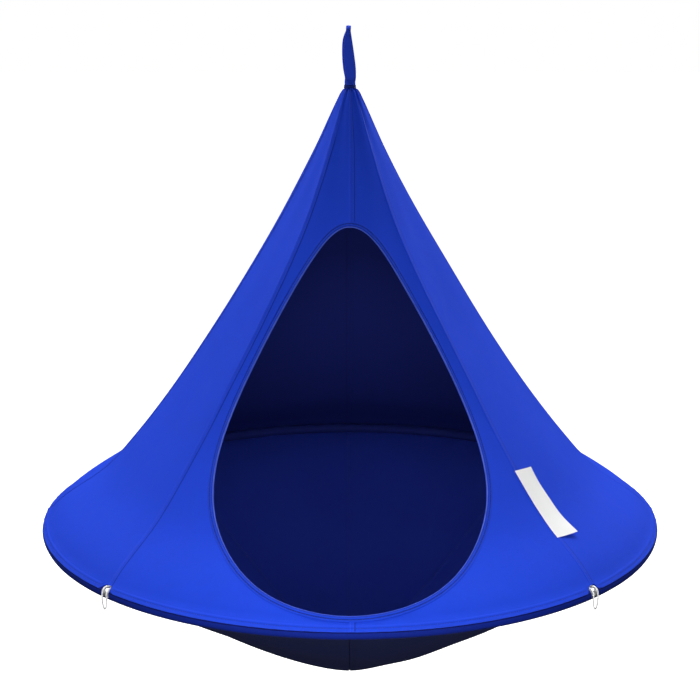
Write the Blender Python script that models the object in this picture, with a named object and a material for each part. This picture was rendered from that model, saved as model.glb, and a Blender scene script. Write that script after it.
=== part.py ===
"""Hanging cone nest swing: cloth cone and seat on a round rim, hung from one webbing loop.

Metres, +Z up.  The origin is the hang point, inside the top of the loop.  The door faces -Y.
"""
import math

import bmesh
import bpy
from mathutils import Vector

# ---------------------------------------------------------------- driving sizes
RING_RADIUS = 0.7375          # centreline of the rim tube
NECK_HEIGHT = 1.046           # rim plane up to the crown
LOOP_DROP = 0.134             # hang point down to the crown
SEAT_DEPTH = 0.404            # rim plane down to the lowest point of the seat
TUBE_RADIUS = 0.0110
TUBE_WALL = 0.0015
SLEEVE_WALL = 0.0012          # cloth tunnel round the tube
CLOTH = 0.0020                # cone and seat cloth, seam allowances included
DOOR_BOTTOM = 0.031           # above the rim plane
DOOR_TOP_SHARE = 0.7084       # of the neck height
DOOR_HALF_WIDTH = 0.2455      # at mid height; the egg is wider below and narrower above
DOOR_EGG = 0.69
HEM_WIDTH = 0.014
DOOR_TO_SEAM = 0.012          # least cloth left between the hem and a diagonal seam
STRAP_WIDTH = 0.026           # loop at its foot
STRAP_TIP_WIDTH = 0.012       # loop folded narrow where the hook bears
EYE_RADIUS = 0.008            # half the gap between the loop's legs
CORD_RADIUS = 0.0017
LABEL_LENGTH = 0.126          # as a difference of height along the seam
LABEL_WIDTH = 0.058
LABEL_TOP = 0.2215

# ---------------------------------------------------------------- clearances
FIT = 0.0003                  # between neighbouring sewn pieces
SLEEVE_EASE = 0.0006          # tunnel round the tube
LOOSE = 0.0006                # where cloth ends against the rim sleeve
JOINT_GAP = 0.0005            # round the flexing neck
EDGE_STEP = 0.0002            # fineness with which the cloth's rim edges are found

# ---------------------------------------------------------------- cutting pattern of the cone
# (share of neck height, share of ring radius): the cone sweeps out towards the rim
CONE_PATTERN = (
    (0.000, 1.0255), (0.048, 0.949), (0.115, 0.816), (0.191, 0.716), (0.306, 0.588), (0.430, 0.467),
    (0.574, 0.338), (0.717, 0.218), (0.860, 0.113), (0.956, 0.050), (1.000, 0.0197),
)
FLATNESS = 0.85               # how nearly flat each gore pulls between its seams near the crown
FLAT_ABOVE = 0.478            # share of neck height at which the gores reach that flatness
RIM_SLOPE = math.radians(47)  # direction of the cloth's outward normal at the rim
SEAT_POWER = 1.43             # shape of the dished seat
SEAT_FULLNESS = 1.28
SEAT_SLOPE = math.radians(72) # direction, below level, of the seat cloth's outward normal at the rim

GORES = 8
COLUMNS = 6                   # facets across one gore
ROWS = 14                     # facets up one gore
ROW_GROWTH = 1.35
SEAT_ROWS = 8
BAR_SIDES = 10                # facets round the tube and its sleeve
CORNERS = GORES * COLUMNS

DOOR_TOP = DOOR_TOP_SHARE * NECK_HEIGHT
RIM_Z = -LOOP_DROP - NECK_HEIGHT
PIVOT_Z = -LOOP_DROP
SLEEVE_RADIUS = TUBE_RADIUS + SLEEVE_EASE + SLEEVE_WALL

# rim ties, and the openings in sleeve and cone where they come out
TIE_START, TIE_END, TIE_STEP = -45, 165, 35      # degrees round the tube, from outside over the top
TIE_SIDE = 0.0075                                # from the ring joint to each turn of the cord
TIE_DROP = 0.034
TIE_REACH = (TUBE_RADIUS + FIT + CORD_RADIUS) / math.cos(math.radians(TIE_STEP / 2))
OPENING_HALF = TIE_SIDE + CORD_RADIUS + 0.0038
NOTCH_RAMP = 0.002
NOTCH_RISE = 0.004 + math.cos(RIM_SLOPE) * math.sqrt(
    (TIE_REACH + CORD_RADIUS + FIT) ** 2 - (SLEEVE_RADIUS - CLOTH) ** 2)

# crown
TAIL_RADIUS = 0.008
CROWN_HALF = 0.003
CROWN_OUTER = 0.013
GORE_TOP_DROP = 0.006

# tapes and patch
TAPE_WIDTH = 0.012
TAPE_THICKNESS = 0.001
PATCH_RADIUS = 0.060
PATCH_THICKNESS = 0.0016
SEAT_HOLE = 0.012
PATCH_HOLE = 0.003

SPIGOT_HALF = 0.060
SPIGOT_WALL = 0.002

COVER_WALL = 0.0008
WEBBING = 0.0020
COVER_HALF = WEBBING / 2 + FIT + COVER_WALL


# ---------------------------------------------------------------- scene helpers
def clear_scene():
    for ob in list(bpy.data.objects):
        bpy.data.objects.remove(ob, do_unlink=True)


def collection(name, hidden=False):
    col = bpy.data.collections.new(name)
    bpy.context.scene.collection.children.link(col)
    col.hide_render = hidden
    return col


def material(name, colour, roughness, metallic=0.0):
    mat = bpy.data.materials.new(name)
    mat.use_nodes = True
    shader = mat.node_tree.nodes["Principled BSDF"]
    shader.inputs["Base Color"].default_value = (*colour, 1.0)
    shader.inputs["Roughness"].default_value = roughness
    shader.inputs["Metallic"].default_value = metallic
    return mat


def finish(bm, name, look, smooth=True):
    """Turn a bmesh into a named part in the object's collection."""
    bmesh.ops.recalc_face_normals(bm, faces=bm.faces)
    if bm.calc_volume(signed=True) < 0:
        bmesh.ops.reverse_faces(bm, faces=bm.faces)
    mesh = bpy.data.meshes.new(name)
    bm.to_mesh(mesh)
    bm.free()
    colour, roughness, metallic = look
    mesh.materials.append(material(name, colour, roughness, metallic))
    ob = bpy.data.objects.new(name, mesh)
    PART.objects.link(ob)
    if smooth:
        mesh.shade_smooth()
        mesh.set_sharp_from_angle(angle=math.radians(40))
    return ob


def panel(name, columns, rows, place, look):
    """A sewn panel: a flat slab of one thickness, laid over a surface by place(u, v, layer)."""
    bm = bmesh.new()
    bmesh.ops.create_grid(bm, x_segments=columns, y_segments=rows, size=0.5)
    bmesh.ops.solidify(bm, geom=bm.faces[:], thickness=1.0)
    low = min(v.co.z for v in bm.verts)
    for vert in bm.verts:
        u = round((vert.co.x + 0.5) * columns)
        v = round((vert.co.y + 0.5) * rows)
        layer = 1.0 if vert.co.z > low + 0.5 else 0.0
        vert.co = place(u, v, layer)
    return finish(bm, name, look)


def hollow(name, sides, steps, place, look):
    """A hollow bar or band: an open cylinder with a wall, laid out by place(side, step, layer)."""
    bm = bmesh.new()
    bmesh.ops.create_cone(bm, segments=sides, cap_ends=False, radius1=1.0, radius2=1.0, depth=1.0)
    along = [e for e in bm.edges if abs(e.verts[0].co.z - e.verts[1].co.z) > 0.5]
    if steps > 1:
        bmesh.ops.subdivide_edges(bm, edges=along, cuts=steps - 1, use_grid_fill=True)
    bmesh.ops.solidify(bm, geom=bm.faces[:], thickness=0.4)
    radii = [math.hypot(v.co.x, v.co.y) for v in bm.verts]
    angles = [math.atan2(v.co.y, v.co.x) for v in bm.verts]
    middle = (min(radii) + max(radii)) / 2
    for vert, radius, angle in zip(bm.verts, radii, angles):
        side = round((angle - angles[0]) / math.tau * sides) % sides
        step = round((min(max(vert.co.z, -0.5), 0.5) + 0.5) * steps)
        layer = 1.0 if radius < middle else 0.0
        vert.co = place(side, step, layer)
    return finish(bm, name, look)


def cut(ob, cutter):
    """Take the cutter away from a part and bake the result into the part's mesh."""
    mod = ob.modifiers.new("cut", "BOOLEAN")
    mod.operation = "DIFFERENCE"
    mod.solver = "EXACT"
    mod.object = cutter
    depsgraph = bpy.context.evaluated_depsgraph_get()
    old = ob.data
    new = bpy.data.meshes.new_from_object(ob.evaluated_get(depsgraph))
    ob.modifiers.remove(mod)
    ob.data = new
    new.name = ob.name
    bpy.data.meshes.remove(old)


def mix(a, b, share):
    return a + (b - a) * share


def ease(x):
    x = min(max(x, 0.0), 1.0)
    return x * x * (3 - 2 * x)


# ---------------------------------------------------------------- the cone's surface
TANGENT_HEIGHT = SLEEVE_RADIUS * math.sin(RIM_SLOPE)
TOP_HEIGHT = NECK_HEIGHT - GORE_TOP_DROP


def row_height(row):
    return mix(TANGENT_HEIGHT, TOP_HEIGHT, (row / ROWS) ** ROW_GROWTH)


def pattern_radius(height):
    """Smooth curve through the stations of the cutting pattern."""
    h = [s[0] * NECK_HEIGHT for s in CONE_PATTERN]
    r = [s[1] * RING_RADIUS for s in CONE_PATTERN]
    i = max(k for k in range(len(h) - 1) if h[k] <= height or k == 0)
    i = min(i, len(h) - 2)

    def tilt(k):
        a, b = max(k - 1, 0), min(k + 1, len(h) - 1)
        return (r[b] - r[a]) / (h[b] - h[a])

    span = h[i + 1] - h[i]
    t = (height - h[i]) / span
    return (
        r[i] * (2 * t**3 - 3 * t**2 + 1) + r[i + 1] * (3 * t**2 - 2 * t**3)
        + span * (tilt(i) * (t**3 - 2 * t**2 + t) + tilt(i + 1) * (t**3 - t**2))
    )


def diagonal(height):
    """Azimuth of the front right seam: the door gores are cut a little wide low down, narrow above."""
    share = height / NECK_HEIGHT
    low = 1.5 * ease(share / 0.143)
    high = 8.5 * ease((share - 0.335) / 0.526)
    return math.radians(45.0 + low - high)


def seam_azimuth(seam, height):
    d, q = diagonal(height), math.pi / 2
    return (0.0, d, q, math.pi - d, math.pi, math.pi + d, 3 * q, math.tau - d, math.tau)[seam]


def azimuth_vector(azimuth):
    return Vector((math.sin(azimuth), -math.cos(azimuth), 0.0))


def pattern_corner(corner, height):
    """Point and unit outward normal of one pattern corner; corner counts facets round from the door."""
    gore, column = divmod(corner % CORNERS, COLUMNS)
    a, b = seam_azimuth(gore, height), seam_azimuth(gore + 1, height)
    azimuth = mix(a, b, column / COLUMNS)
    flat = math.cos((b - a) / 2) / math.cos(azimuth - (a + b) / 2)
    pull = FLATNESS * min(height / NECK_HEIGHT / FLAT_ABOVE, 1.0)
    radius = pattern_radius(height) * (1 - pull * (1 - flat))
    step = 0.002
    slope = (pattern_radius(height + step) - pattern_radius(height - step)) / (2 * step)
    normal = azimuth_vector(azimuth) / math.hypot(1, slope)
    normal.z = -slope / math.hypot(1, slope)
    point = azimuth_vector(azimuth) * radius
    point.z = RIM_Z + height
    return point, normal


ROW_HEIGHTS = [row_height(i) for i in range(ROWS + 1)]
CORNER_CACHE = {}


def facet_corner(corner, row):
    key = (corner % CORNERS, row)
    if key not in CORNER_CACHE:
        CORNER_CACHE[key] = pattern_corner(corner, ROW_HEIGHTS[row])
    return CORNER_CACHE[key]


def cone_point(position, height, depth=0.0):
    """Point at a depth under the outer face of the faceted cone; position counts facets from the door."""
    row = max(k for k in range(ROWS) if ROW_HEIGHTS[k] <= height or k == 0)
    up = (height - ROW_HEIGHTS[row]) / (ROW_HEIGHTS[row + 1] - ROW_HEIGHTS[row])
    corner = math.floor(position)
    point, normal = Vector(), Vector()
    for c, share in ((corner, 1 - (position - corner)), (corner + 1, position - corner)):
        (p0, n0), (p1, n1) = facet_corner(c, row), facet_corner(c, row + 1)
        point += mix(p0, p1, up) * share
        normal += mix(n0, n1, up) * share
    return point - normal.normalized() * depth


def cone_edge(position, depth):
    """Height at which the cone cloth, coming down the cone, stops clear of the sleeve."""
    height = mix(ROW_HEIGHTS[0], ROW_HEIGHTS[1], 0.95)
    while height > TANGENT_HEIGHT:
        point = cone_point(position, height - EDGE_STEP, depth)
        out = math.hypot(point.x, point.y) / rim_scale(position) - RING_RADIUS
        if math.hypot(out, point.z - RIM_Z) < SLEEVE_RADIUS + LOOSE:
            break
        height -= EDGE_STEP
    return height


def rim_scale(position):
    """How far a point of the faceted rim lies in from its corners, as a share."""
    half = math.pi / CORNERS
    return math.cos(half) / math.cos((position - math.floor(position)) * 2 * half - half)


def facet_width(height, position=0.5):
    corner = math.floor(position)
    return (cone_point(corner, height) - cone_point(corner + 1, height)).length


# ---------------------------------------------------------------- the seat's surface
SEAT_RIM = RING_RADIUS + SLEEVE_RADIUS * math.cos(SEAT_SLOPE)
SEAT_RIM_DROP = SLEEVE_RADIUS * math.sin(SEAT_SLOPE)


def seat_height(radius):
    share = min(radius / SEAT_RIM, 1.0)
    fall = SEAT_DEPTH - SEAT_RIM_DROP
    return RIM_Z - SEAT_RIM_DROP - fall * (1 - share**SEAT_POWER) ** SEAT_FULLNESS


def seat_section(radius, depth=0.0):
    """(radius, height) at a height above the outer (lower) face, in the section through the axis."""
    step = 0.002
    inner, outer = max(radius - step, 0.0), min(radius + step, SEAT_RIM)
    slope = (seat_height(outer) - seat_height(inner)) / (outer - inner)
    length = math.hypot(1, slope)
    return radius - slope / length * depth, seat_height(radius) + depth / length


def seat_edge(depth):
    """Radius at which the seat cloth, coming out from the middle, stops clear of the sleeve."""
    radius = 0.9 * SEAT_RIM
    while radius < SEAT_RIM:
        r, z = seat_section(radius + EDGE_STEP, depth)
        if math.hypot(r - RING_RADIUS, z - RIM_Z) < SLEEVE_RADIUS + LOOSE:
            break
        radius += EDGE_STEP
    return radius


SEAT_EDGES = (seat_edge(0.0), seat_edge(CLOTH))
SEAT_RADII = [mix(SEAT_EDGES[0], SEAT_HOLE, (i / SEAT_ROWS) ** 0.9) for i in range(SEAT_ROWS + 1)]
SEAT_STATIONS = SEAT_RADII + [PATCH_HOLE]


def seat_point(position, radius, depth=0.0):
    """Point at a height above the outer (lower) face of the faceted seat."""
    row = max(k for k in range(len(SEAT_STATIONS) - 1) if SEAT_STATIONS[k] >= radius or k == 0)
    far, near = SEAT_STATIONS[row], SEAT_STATIONS[row + 1]
    (r0, z0), (r1, z1) = seat_section(far, depth), seat_section(near, depth)
    share = (far - radius) / (far - near)
    corner = math.floor(position)
    a, b = (azimuth_vector(math.tau * c / CORNERS) for c in (corner, corner + 1))
    point = mix(a, b, position - corner) * mix(r0, r1, share)
    point.z = mix(z0, z1, share)
    return point


# ---------------------------------------------------------------- round-the-rim helpers
def rim_point(position, out, up):
    """Point on the faceted rim; position counts facets, out and up are measured from the tube's centre."""
    corner = math.floor(position)
    share = position - corner
    a = azimuth_vector(math.tau * corner / CORNERS) * (RING_RADIUS + out)
    b = azimuth_vector(math.tau * (corner + 1) / CORNERS) * (RING_RADIUS + out)
    point = mix(a, b, share)
    point.z = RIM_Z + up
    return point


RIM_FACET = math.tau / CORNERS * RING_RADIUS


def rim_bar(name, start, end, outer, inner, look):
    """A hollow bar round part of the rim, with a section at each end and at every facet between."""
    stops = [start] + [k for k in range(math.ceil(start + 0.01), math.floor(end - 0.01) + 1)] + [end]

    def place(side, step, layer):
        radius = inner if layer else outer
        angle = math.tau * (side + 0.5) / BAR_SIDES
        return rim_point(stops[step], radius * math.cos(angle), radius * math.sin(angle))

    return hollow(name, BAR_SIDES, len(stops) - 1, place, look)


# ---------------------------------------------------------------- looks
CLOTH_LOOK = ((0.018, 0.058, 0.55), 0.75, 0.0)
CLOTH_DARK = ((0.012, 0.040, 0.38), 0.80, 0.0)
SEAT_LOOK = ((0.010, 0.030, 0.30), 0.85, 0.0)
TAPE_LOOK = ((0.012, 0.030, 0.26), 0.85, 0.0)
METAL_LOOK = ((0.72, 0.73, 0.75), 0.35, 1.0)
WHITE_LOOK = ((0.88, 0.88, 0.88), 0.70, 0.0)

clear_scene()
PART = collection("cone_nest_swing")
CUTTERS = collection("cutters", hidden=True)


# ---------------------------------------------------------------- cone gores
def notch_columns(start_notched):
    """Facet columns across a gore, with two extra ones where its rim corner is notched for a tie."""
    width = OPENING_HALF / RIM_FACET
    ramp = (OPENING_HALF + NOTCH_RAMP) / RIM_FACET
    inner = [width, ramp] + list(range(1, COLUMNS))
    columns = [0] + inner + [COLUMNS]
    return columns if start_notched else [COLUMNS - c for c in reversed(columns)]


def make_gore(gore):
    start_notched = gore % 2 == 1
    columns = notch_columns(start_notched)

    def place(u, v, layer):
        share = columns[u]
        height = ROW_HEIGHTS[v]
        if v == 0:
            height = cone_edge(gore * COLUMNS + share, CLOTH * layer)
            if (share if start_notched else COLUMNS - share) <= OPENING_HALF / RIM_FACET + 1e-6:
                height = max(height, TANGENT_HEIGHT + NOTCH_RISE)
        gap = FIT / 2 / facet_width(height)
        if u == 0:
            share += gap
        elif u == len(columns) - 1:
            share -= gap
        return cone_point(gore * COLUMNS + share, height, CLOTH * layer)

    return panel(f"cone_gore_{gore + 1}", len(columns) - 1, ROWS, place, CLOTH_LOOK)


gores = [make_gore(g) for g in range(GORES)]


# ---------------------------------------------------------------- door
def door_path(turn):
    """Point, outward normal and direction away from the opening, at a turn round the door's edge."""

    def on_cone(t):
        height = mix(DOOR_BOTTOM, DOOR_TOP, (1 + math.cos(t)) / 2)
        half = DOOR_HALF_WIDTH * math.exp(-DOOR_EGG * math.cos(t))
        room = cone_point(COLUMNS, height).x - HEM_WIDTH - DOOR_TO_SEAM
        x = math.copysign(min(abs(half * math.sin(t)), room), math.sin(t))
        low, high = 0.0, COLUMNS * 1.5
        for _ in range(40):
            middle = (low + high) / 2
            if cone_point(middle, height).x < abs(x):
                low = middle
            else:
                high = middle
        position = low if x >= 0 else -low
        return position, height

    position, height = on_cone(turn)
    point = cone_point(position, height)
    normal = (point - cone_point(position, height, 0.01)).normalized()
    step = 0.01
    ahead = cone_point(*on_cone(turn + step)) - cone_point(*on_cone(turn - step))
    away = normal.cross(ahead).normalized()
    return point, normal, away


def door_turns(count):
    """Even steps round the door's edge by length, so the narrow top is as fine as the wide foot."""
    fine = 480
    points = [door_path(math.tau * i / fine)[0] for i in range(fine)]
    lengths = [0.0]
    for i in range(fine):
        lengths.append(lengths[-1] + (points[(i + 1) % fine] - points[i]).length)
    turns, k = [], 0
    for i in range(count):
        goal = lengths[-1] * i / count
        while lengths[k + 1] < goal:
            k += 1
        share = (goal - lengths[k]) / (lengths[k + 1] - lengths[k])
        turns.append(math.tau * (k + share) / fine)
    return turns


DOOR_STEPS = 64
HEM_PROUD = 0.0015
HEM_INNER = 0.0035
DOOR_PATH = [door_path(t) for t in door_turns(DOOR_STEPS)]
DOOR_AXIS = Vector((0.0, -math.cos(math.radians(40)), math.sin(math.radians(40))))
AWAY_SIGN = 1.0 if DOOR_PATH[0][2].z > 0 else -1.0


def hem_place(side, step, layer):
    point, normal, away = DOOR_PATH[side]
    level = -HEM_INNER if layer else HEM_PROUD
    return point + away * (AWAY_SIGN * HEM_WIDTH * step) + normal * level


hollow("door_hem", DOOR_STEPS, 1, hem_place, CLOTH_DARK)


def door_cutter():
    """A prism through the front of the cone, its outline just clear of the hem all round."""
    across = Vector((1, 0, 0))
    upward = DOOR_AXIS.cross(across)
    ring = Vector((0, 0, RIM_Z))
    outline = []
    for point, normal, away in DOOR_PATH:
        edge = [point + away * (AWAY_SIGN * (HEM_WIDTH + FIT)) + normal * level - ring
                for level in (HEM_PROUD, -HEM_INNER)]
        sideways = (away - DOOR_AXIS * away.dot(DOOR_AXIS)) * AWAY_SIGN
        outline.append(max(edge, key=lambda e: e.dot(sideways)))
    bm = bmesh.new()
    near, far = 0.40 * RING_RADIUS / 0.75, 1.10
    rings = []
    for level in (near, far):
        rings.append([
            bm.verts.new(ring + across * e.dot(across) + upward * e.dot(upward) + DOOR_AXIS * level)
            for e in outline
        ])
    bm.faces.new(rings[0])
    bm.faces.new(rings[1])
    for i in range(len(outline)):
        j = (i + 1) % len(outline)
        bm.faces.new((rings[0][i], rings[0][j], rings[1][j], rings[1][i]))
    bmesh.ops.recalc_face_normals(bm, faces=bm.faces)
    mesh = bpy.data.meshes.new("door_cutter")
    bm.to_mesh(mesh)
    bm.free()
    ob = bpy.data.objects.new("door_cutter", mesh)
    ob.display_type = "WIRE"
    ob.hide_render = True
    CUTTERS.objects.link(ob)
    return ob


door_tool = door_cutter()
for ob in (gores[0], gores[-1]):
    cut(ob, door_tool)


# ---------------------------------------------------------------- seam tapes inside the cone
def make_tape(seam):
    depth = CLOTH + FIT
    first = ROW_HEIGHTS[1]
    if seam == 0:
        first = DOOR_TOP + HEM_WIDTH + 0.004
    last = ROW_HEIGHTS[ROWS - 1]
    heights = [first] + [h for h in ROW_HEIGHTS if first + 0.004 < h < last - 0.004] + [last]

    def place(u, v, layer):
        height = heights[v]
        half = TAPE_WIDTH / 2 / facet_width(height)
        return cone_point(seam * COLUMNS + (u - 1) * half, height, depth + TAPE_THICKNESS * layer)

    return panel(f"seam_tape_{seam + 1}", 2, len(heights) - 1, place, TAPE_LOOK)


for seam in range(GORES):
    make_tape(seam)


# ---------------------------------------------------------------- seat gores and base patch
def make_seat_gore(gore):
    def place(u, v, layer):
        radius = min(SEAT_RADII[v], SEAT_EDGES[int(layer)])
        share = float(u)
        gap = FIT / 2 / (math.tau / CORNERS * radius)
        if u == 0:
            share += gap
        elif u == COLUMNS:
            share -= gap
        return seat_point(gore * COLUMNS + share, radius, CLOTH * layer)

    return panel(f"seat_gore_{gore + 1}", COLUMNS, SEAT_ROWS, place, SEAT_LOOK)


for gore in range(GORES):
    make_seat_gore(gore)

PATCH_STOPS = [PATCH_HOLE, SEAT_HOLE] + sorted(r for r in SEAT_RADII if SEAT_HOLE < r < PATCH_RADIUS)
PATCH_STOPS.append(PATCH_RADIUS)
PATCH_SIDES = CORNERS // 2


def patch_place(side, step, layer):
    rise = CLOTH + FIT + PATCH_THICKNESS * layer + 0.0002
    return seat_point(side * 2, PATCH_STOPS[step], rise)


hollow("base_patch", PATCH_SIDES, len(PATCH_STOPS) - 1, patch_place, SEAT_LOOK)


# ---------------------------------------------------------------- rim: tube, spigots, sleeve, ties
TIE_CORNERS = [CORNERS // GORES * k for k in (1, 3, 5, 7)]
QUARTER = CORNERS // 4
opening = OPENING_HALF / RIM_FACET
join = FIT / 2 / RIM_FACET
spigot_reach = SPIGOT_HALF / RIM_FACET

for i, corner in enumerate(TIE_CORNERS, start=1):
    rim_bar(f"ring_tube_{i}", corner + join, corner + QUARTER - join, TUBE_RADIUS,
            TUBE_RADIUS - TUBE_WALL, METAL_LOOK)
    rim_bar(f"ring_spigot_{i}", corner - spigot_reach, corner + spigot_reach,
            TUBE_RADIUS - TUBE_WALL - FIT, TUBE_RADIUS - TUBE_WALL - FIT - SPIGOT_WALL, METAL_LOOK)
    rim_bar(f"rim_sleeve_{i}", corner + opening, corner + QUARTER - opening, SLEEVE_RADIUS,
            SLEEVE_RADIUS - SLEEVE_WALL, CLOTH_DARK)


def make_tie(index, corner):
    """A cord hitched over the tube on both sides of a ring joint, its bight hanging below the rim."""
    path = [(0.0, TUBE_RADIUS + CORD_RADIUS, -TIE_DROP)]
    for sign in (-1, 1):
        hooks = [
            (sign * TIE_SIDE, TIE_REACH * math.cos(math.radians(a)), TIE_REACH * math.sin(math.radians(a)))
            for a in range(TIE_START, TIE_END + 1, TIE_STEP)
        ]
        path += hooks if sign < 0 else list(reversed(hooks))
    curve = bpy.data.curves.new(f"rim_tie_{index}", "CURVE")
    curve.dimensions = "3D"
    curve.bevel_depth = CORD_RADIUS
    curve.bevel_resolution = 1
    curve.resolution_u = 1
    curve.render_resolution_u = 0
    spline = curve.splines.new("POLY")
    spline.points.add(len(path) - 1)
    spline.use_cyclic_u = True
    out = azimuth_vector(math.tau * corner / CORNERS)
    along = Vector((-out.y, out.x, 0.0))
    for knot, (s, radial, up) in zip(spline.points, path):
        place = out * (RING_RADIUS + radial) + along * s + Vector((0, 0, RIM_Z + up))
        knot.co = (*place, 1.0)
    rope = bpy.data.objects.new("rope", curve)
    PART.objects.link(rope)
    mesh = bpy.data.meshes.new_from_object(rope.evaluated_get(bpy.context.evaluated_depsgraph_get()))
    bpy.data.objects.remove(rope, do_unlink=True)
    bm = bmesh.new()
    bm.from_mesh(mesh)
    bpy.data.meshes.remove(mesh)
    bmesh.ops.remove_doubles(bm, verts=bm.verts, dist=0.00001)
    return finish(bm, f"rim_tie_{index}", WHITE_LOOK)


for i, corner in enumerate(TIE_CORNERS, start=1):
    make_tie(i, corner)


# ---------------------------------------------------------------- label, left blank
LABEL_HEIGHTS = [LABEL_TOP - LABEL_LENGTH] + [
    h for h in ROW_HEIGHTS if LABEL_TOP - LABEL_LENGTH + 0.004 < h < LABEL_TOP - 0.004
] + [LABEL_TOP]


def label_place(u, v, layer):
    height = LABEL_HEIGHTS[v]
    share = (0.002 + LABEL_WIDTH * u) / facet_width(height, COLUMNS + 0.5)
    return cone_point(COLUMNS + share, height, -FIT - 0.0008 * layer)


panel("blank_label", 1, len(LABEL_HEIGHTS) - 1, label_place, WHITE_LOOK)


# ---------------------------------------------------------------- crown and loop
def crown_place(side, step, layer):
    radius = TAIL_RADIUS + JOINT_GAP if layer else CROWN_OUTER
    return azimuth_vector(math.tau * side / 24) * (radius / math.cos(math.pi / 24)) + Vector(
        (0, 0, PIVOT_Z + CROWN_HALF * (2 * step - 1)))


crown = hollow("crown_band", 24, 1, crown_place, CLOTH_DARK)

bm = bmesh.new()
bmesh.ops.create_uvsphere(bm, u_segments=16, v_segments=10, radius=TAIL_RADIUS)
bmesh.ops.translate(bm, verts=bm.verts, vec=(0, 0, PIVOT_Z))
finish(bm, "loop_tail", TAPE_LOOK)

BIGHT = EYE_RADIUS + COVER_HALF
LEG_MEET = COVER_HALF + FIT
FOOT_Z = PIVOT_Z + TAIL_RADIUS + JOINT_GAP
SHOULDER_Z = PIVOT_Z + 0.0155
BIGHT_STEPS = 8


def strap_path():
    """Stations along the strap, foot to foot: (y, z, direction, half width)."""
    wide, tip = STRAP_WIDTH / 2, STRAP_TIP_WIDTH / 2
    leg = [
        (LEG_MEET, FOOT_Z, 0.0028), (LEG_MEET, PIVOT_Z + 0.0135, 0.0040),
        (LEG_MEET, SHOULDER_Z, wide), (LEG_MEET, PIVOT_Z + 0.024, wide),
        (mix(LEG_MEET, BIGHT, 0.35), PIVOT_Z + 0.046, wide * 0.97),
        (mix(LEG_MEET, BIGHT, 0.8), PIVOT_Z + 0.075, wide * 0.88),
        (BIGHT, -EYE_RADIUS - 0.022, wide * 0.70),
    ]
    arc = [
        (BIGHT * math.cos(math.pi * k / BIGHT_STEPS), -EYE_RADIUS + BIGHT * math.sin(
            math.pi * k / BIGHT_STEPS), tip)
        for k in range(BIGHT_STEPS + 1)
    ]
    return leg + arc + [(-y, z, w) for y, z, w in reversed(leg)]


STRAP = strap_path()


def strap_frame(i):
    y, z, half = STRAP[i]
    a, b = STRAP[max(i - 1, 0)], STRAP[min(i + 1, len(STRAP) - 1)]
    ahead = Vector((0, b[0] - a[0], b[1] - a[1])).normalized()
    if i in (0, len(STRAP) - 1):
        ahead = Vector((0, 0, math.copysign(1, ahead.z)))
    outward = Vector((0, -ahead.z, ahead.y))
    return Vector((0, y, z)), -outward, half


def webbing_place(u, v, layer):
    centre, outward, half = strap_frame(v)
    half -= COVER_WALL + FIT + 0.0004
    return centre + Vector((half * (u - 1), 0, 0)) + outward * (WEBBING * (layer - 0.5))


def cover_place(side, step, layer):
    centre, outward, half = strap_frame(step)
    half -= COVER_WALL * layer
    thick = COVER_HALF - COVER_WALL * layer
    soft = 0.0007
    ring = ((half, thick - soft), (half - soft, thick), (soft - half, thick), (-half, thick - soft),
            (-half, soft - thick), (soft - half, -thick), (half - soft, -thick), (half, soft - thick))
    x, n = ring[side]
    return centre + Vector((x, 0, 0)) + outward * n


panel("loop_webbing", 2, len(STRAP) - 1, webbing_place, TAPE_LOOK)
hollow("loop_cover", 8, len(STRAP) - 1, cover_place, CLOTH_LOOK)
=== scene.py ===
"""Looks of the hanging cone nest swing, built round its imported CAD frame.

Metres, +Z up.  The origin is the hang point, the door faces -Y.  Every surface below follows the
same few curves as the part itself, at a much finer step, with the cloth's folds and sewing added.
"""

import math

import bpy
import numpy as np
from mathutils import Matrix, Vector


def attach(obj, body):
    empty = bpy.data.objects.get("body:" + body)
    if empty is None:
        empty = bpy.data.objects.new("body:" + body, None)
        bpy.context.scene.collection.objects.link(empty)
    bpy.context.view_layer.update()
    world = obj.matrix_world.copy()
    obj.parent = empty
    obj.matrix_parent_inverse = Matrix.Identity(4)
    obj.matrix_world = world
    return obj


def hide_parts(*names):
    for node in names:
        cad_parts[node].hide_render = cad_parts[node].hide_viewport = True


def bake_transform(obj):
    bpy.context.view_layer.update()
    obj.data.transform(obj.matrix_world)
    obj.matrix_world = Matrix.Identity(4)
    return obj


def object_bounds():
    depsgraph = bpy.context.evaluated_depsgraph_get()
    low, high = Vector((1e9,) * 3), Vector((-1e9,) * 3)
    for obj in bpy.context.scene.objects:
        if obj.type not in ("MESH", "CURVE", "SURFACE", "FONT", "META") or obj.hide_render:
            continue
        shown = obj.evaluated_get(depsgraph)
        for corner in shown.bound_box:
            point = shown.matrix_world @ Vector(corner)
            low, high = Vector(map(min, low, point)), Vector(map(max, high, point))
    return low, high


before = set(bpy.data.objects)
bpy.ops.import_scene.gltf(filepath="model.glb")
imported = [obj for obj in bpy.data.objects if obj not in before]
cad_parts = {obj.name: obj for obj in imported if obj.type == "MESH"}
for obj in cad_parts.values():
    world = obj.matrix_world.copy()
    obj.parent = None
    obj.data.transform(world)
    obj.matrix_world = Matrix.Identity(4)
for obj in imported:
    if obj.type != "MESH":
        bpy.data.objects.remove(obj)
CAD_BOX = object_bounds()

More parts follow.
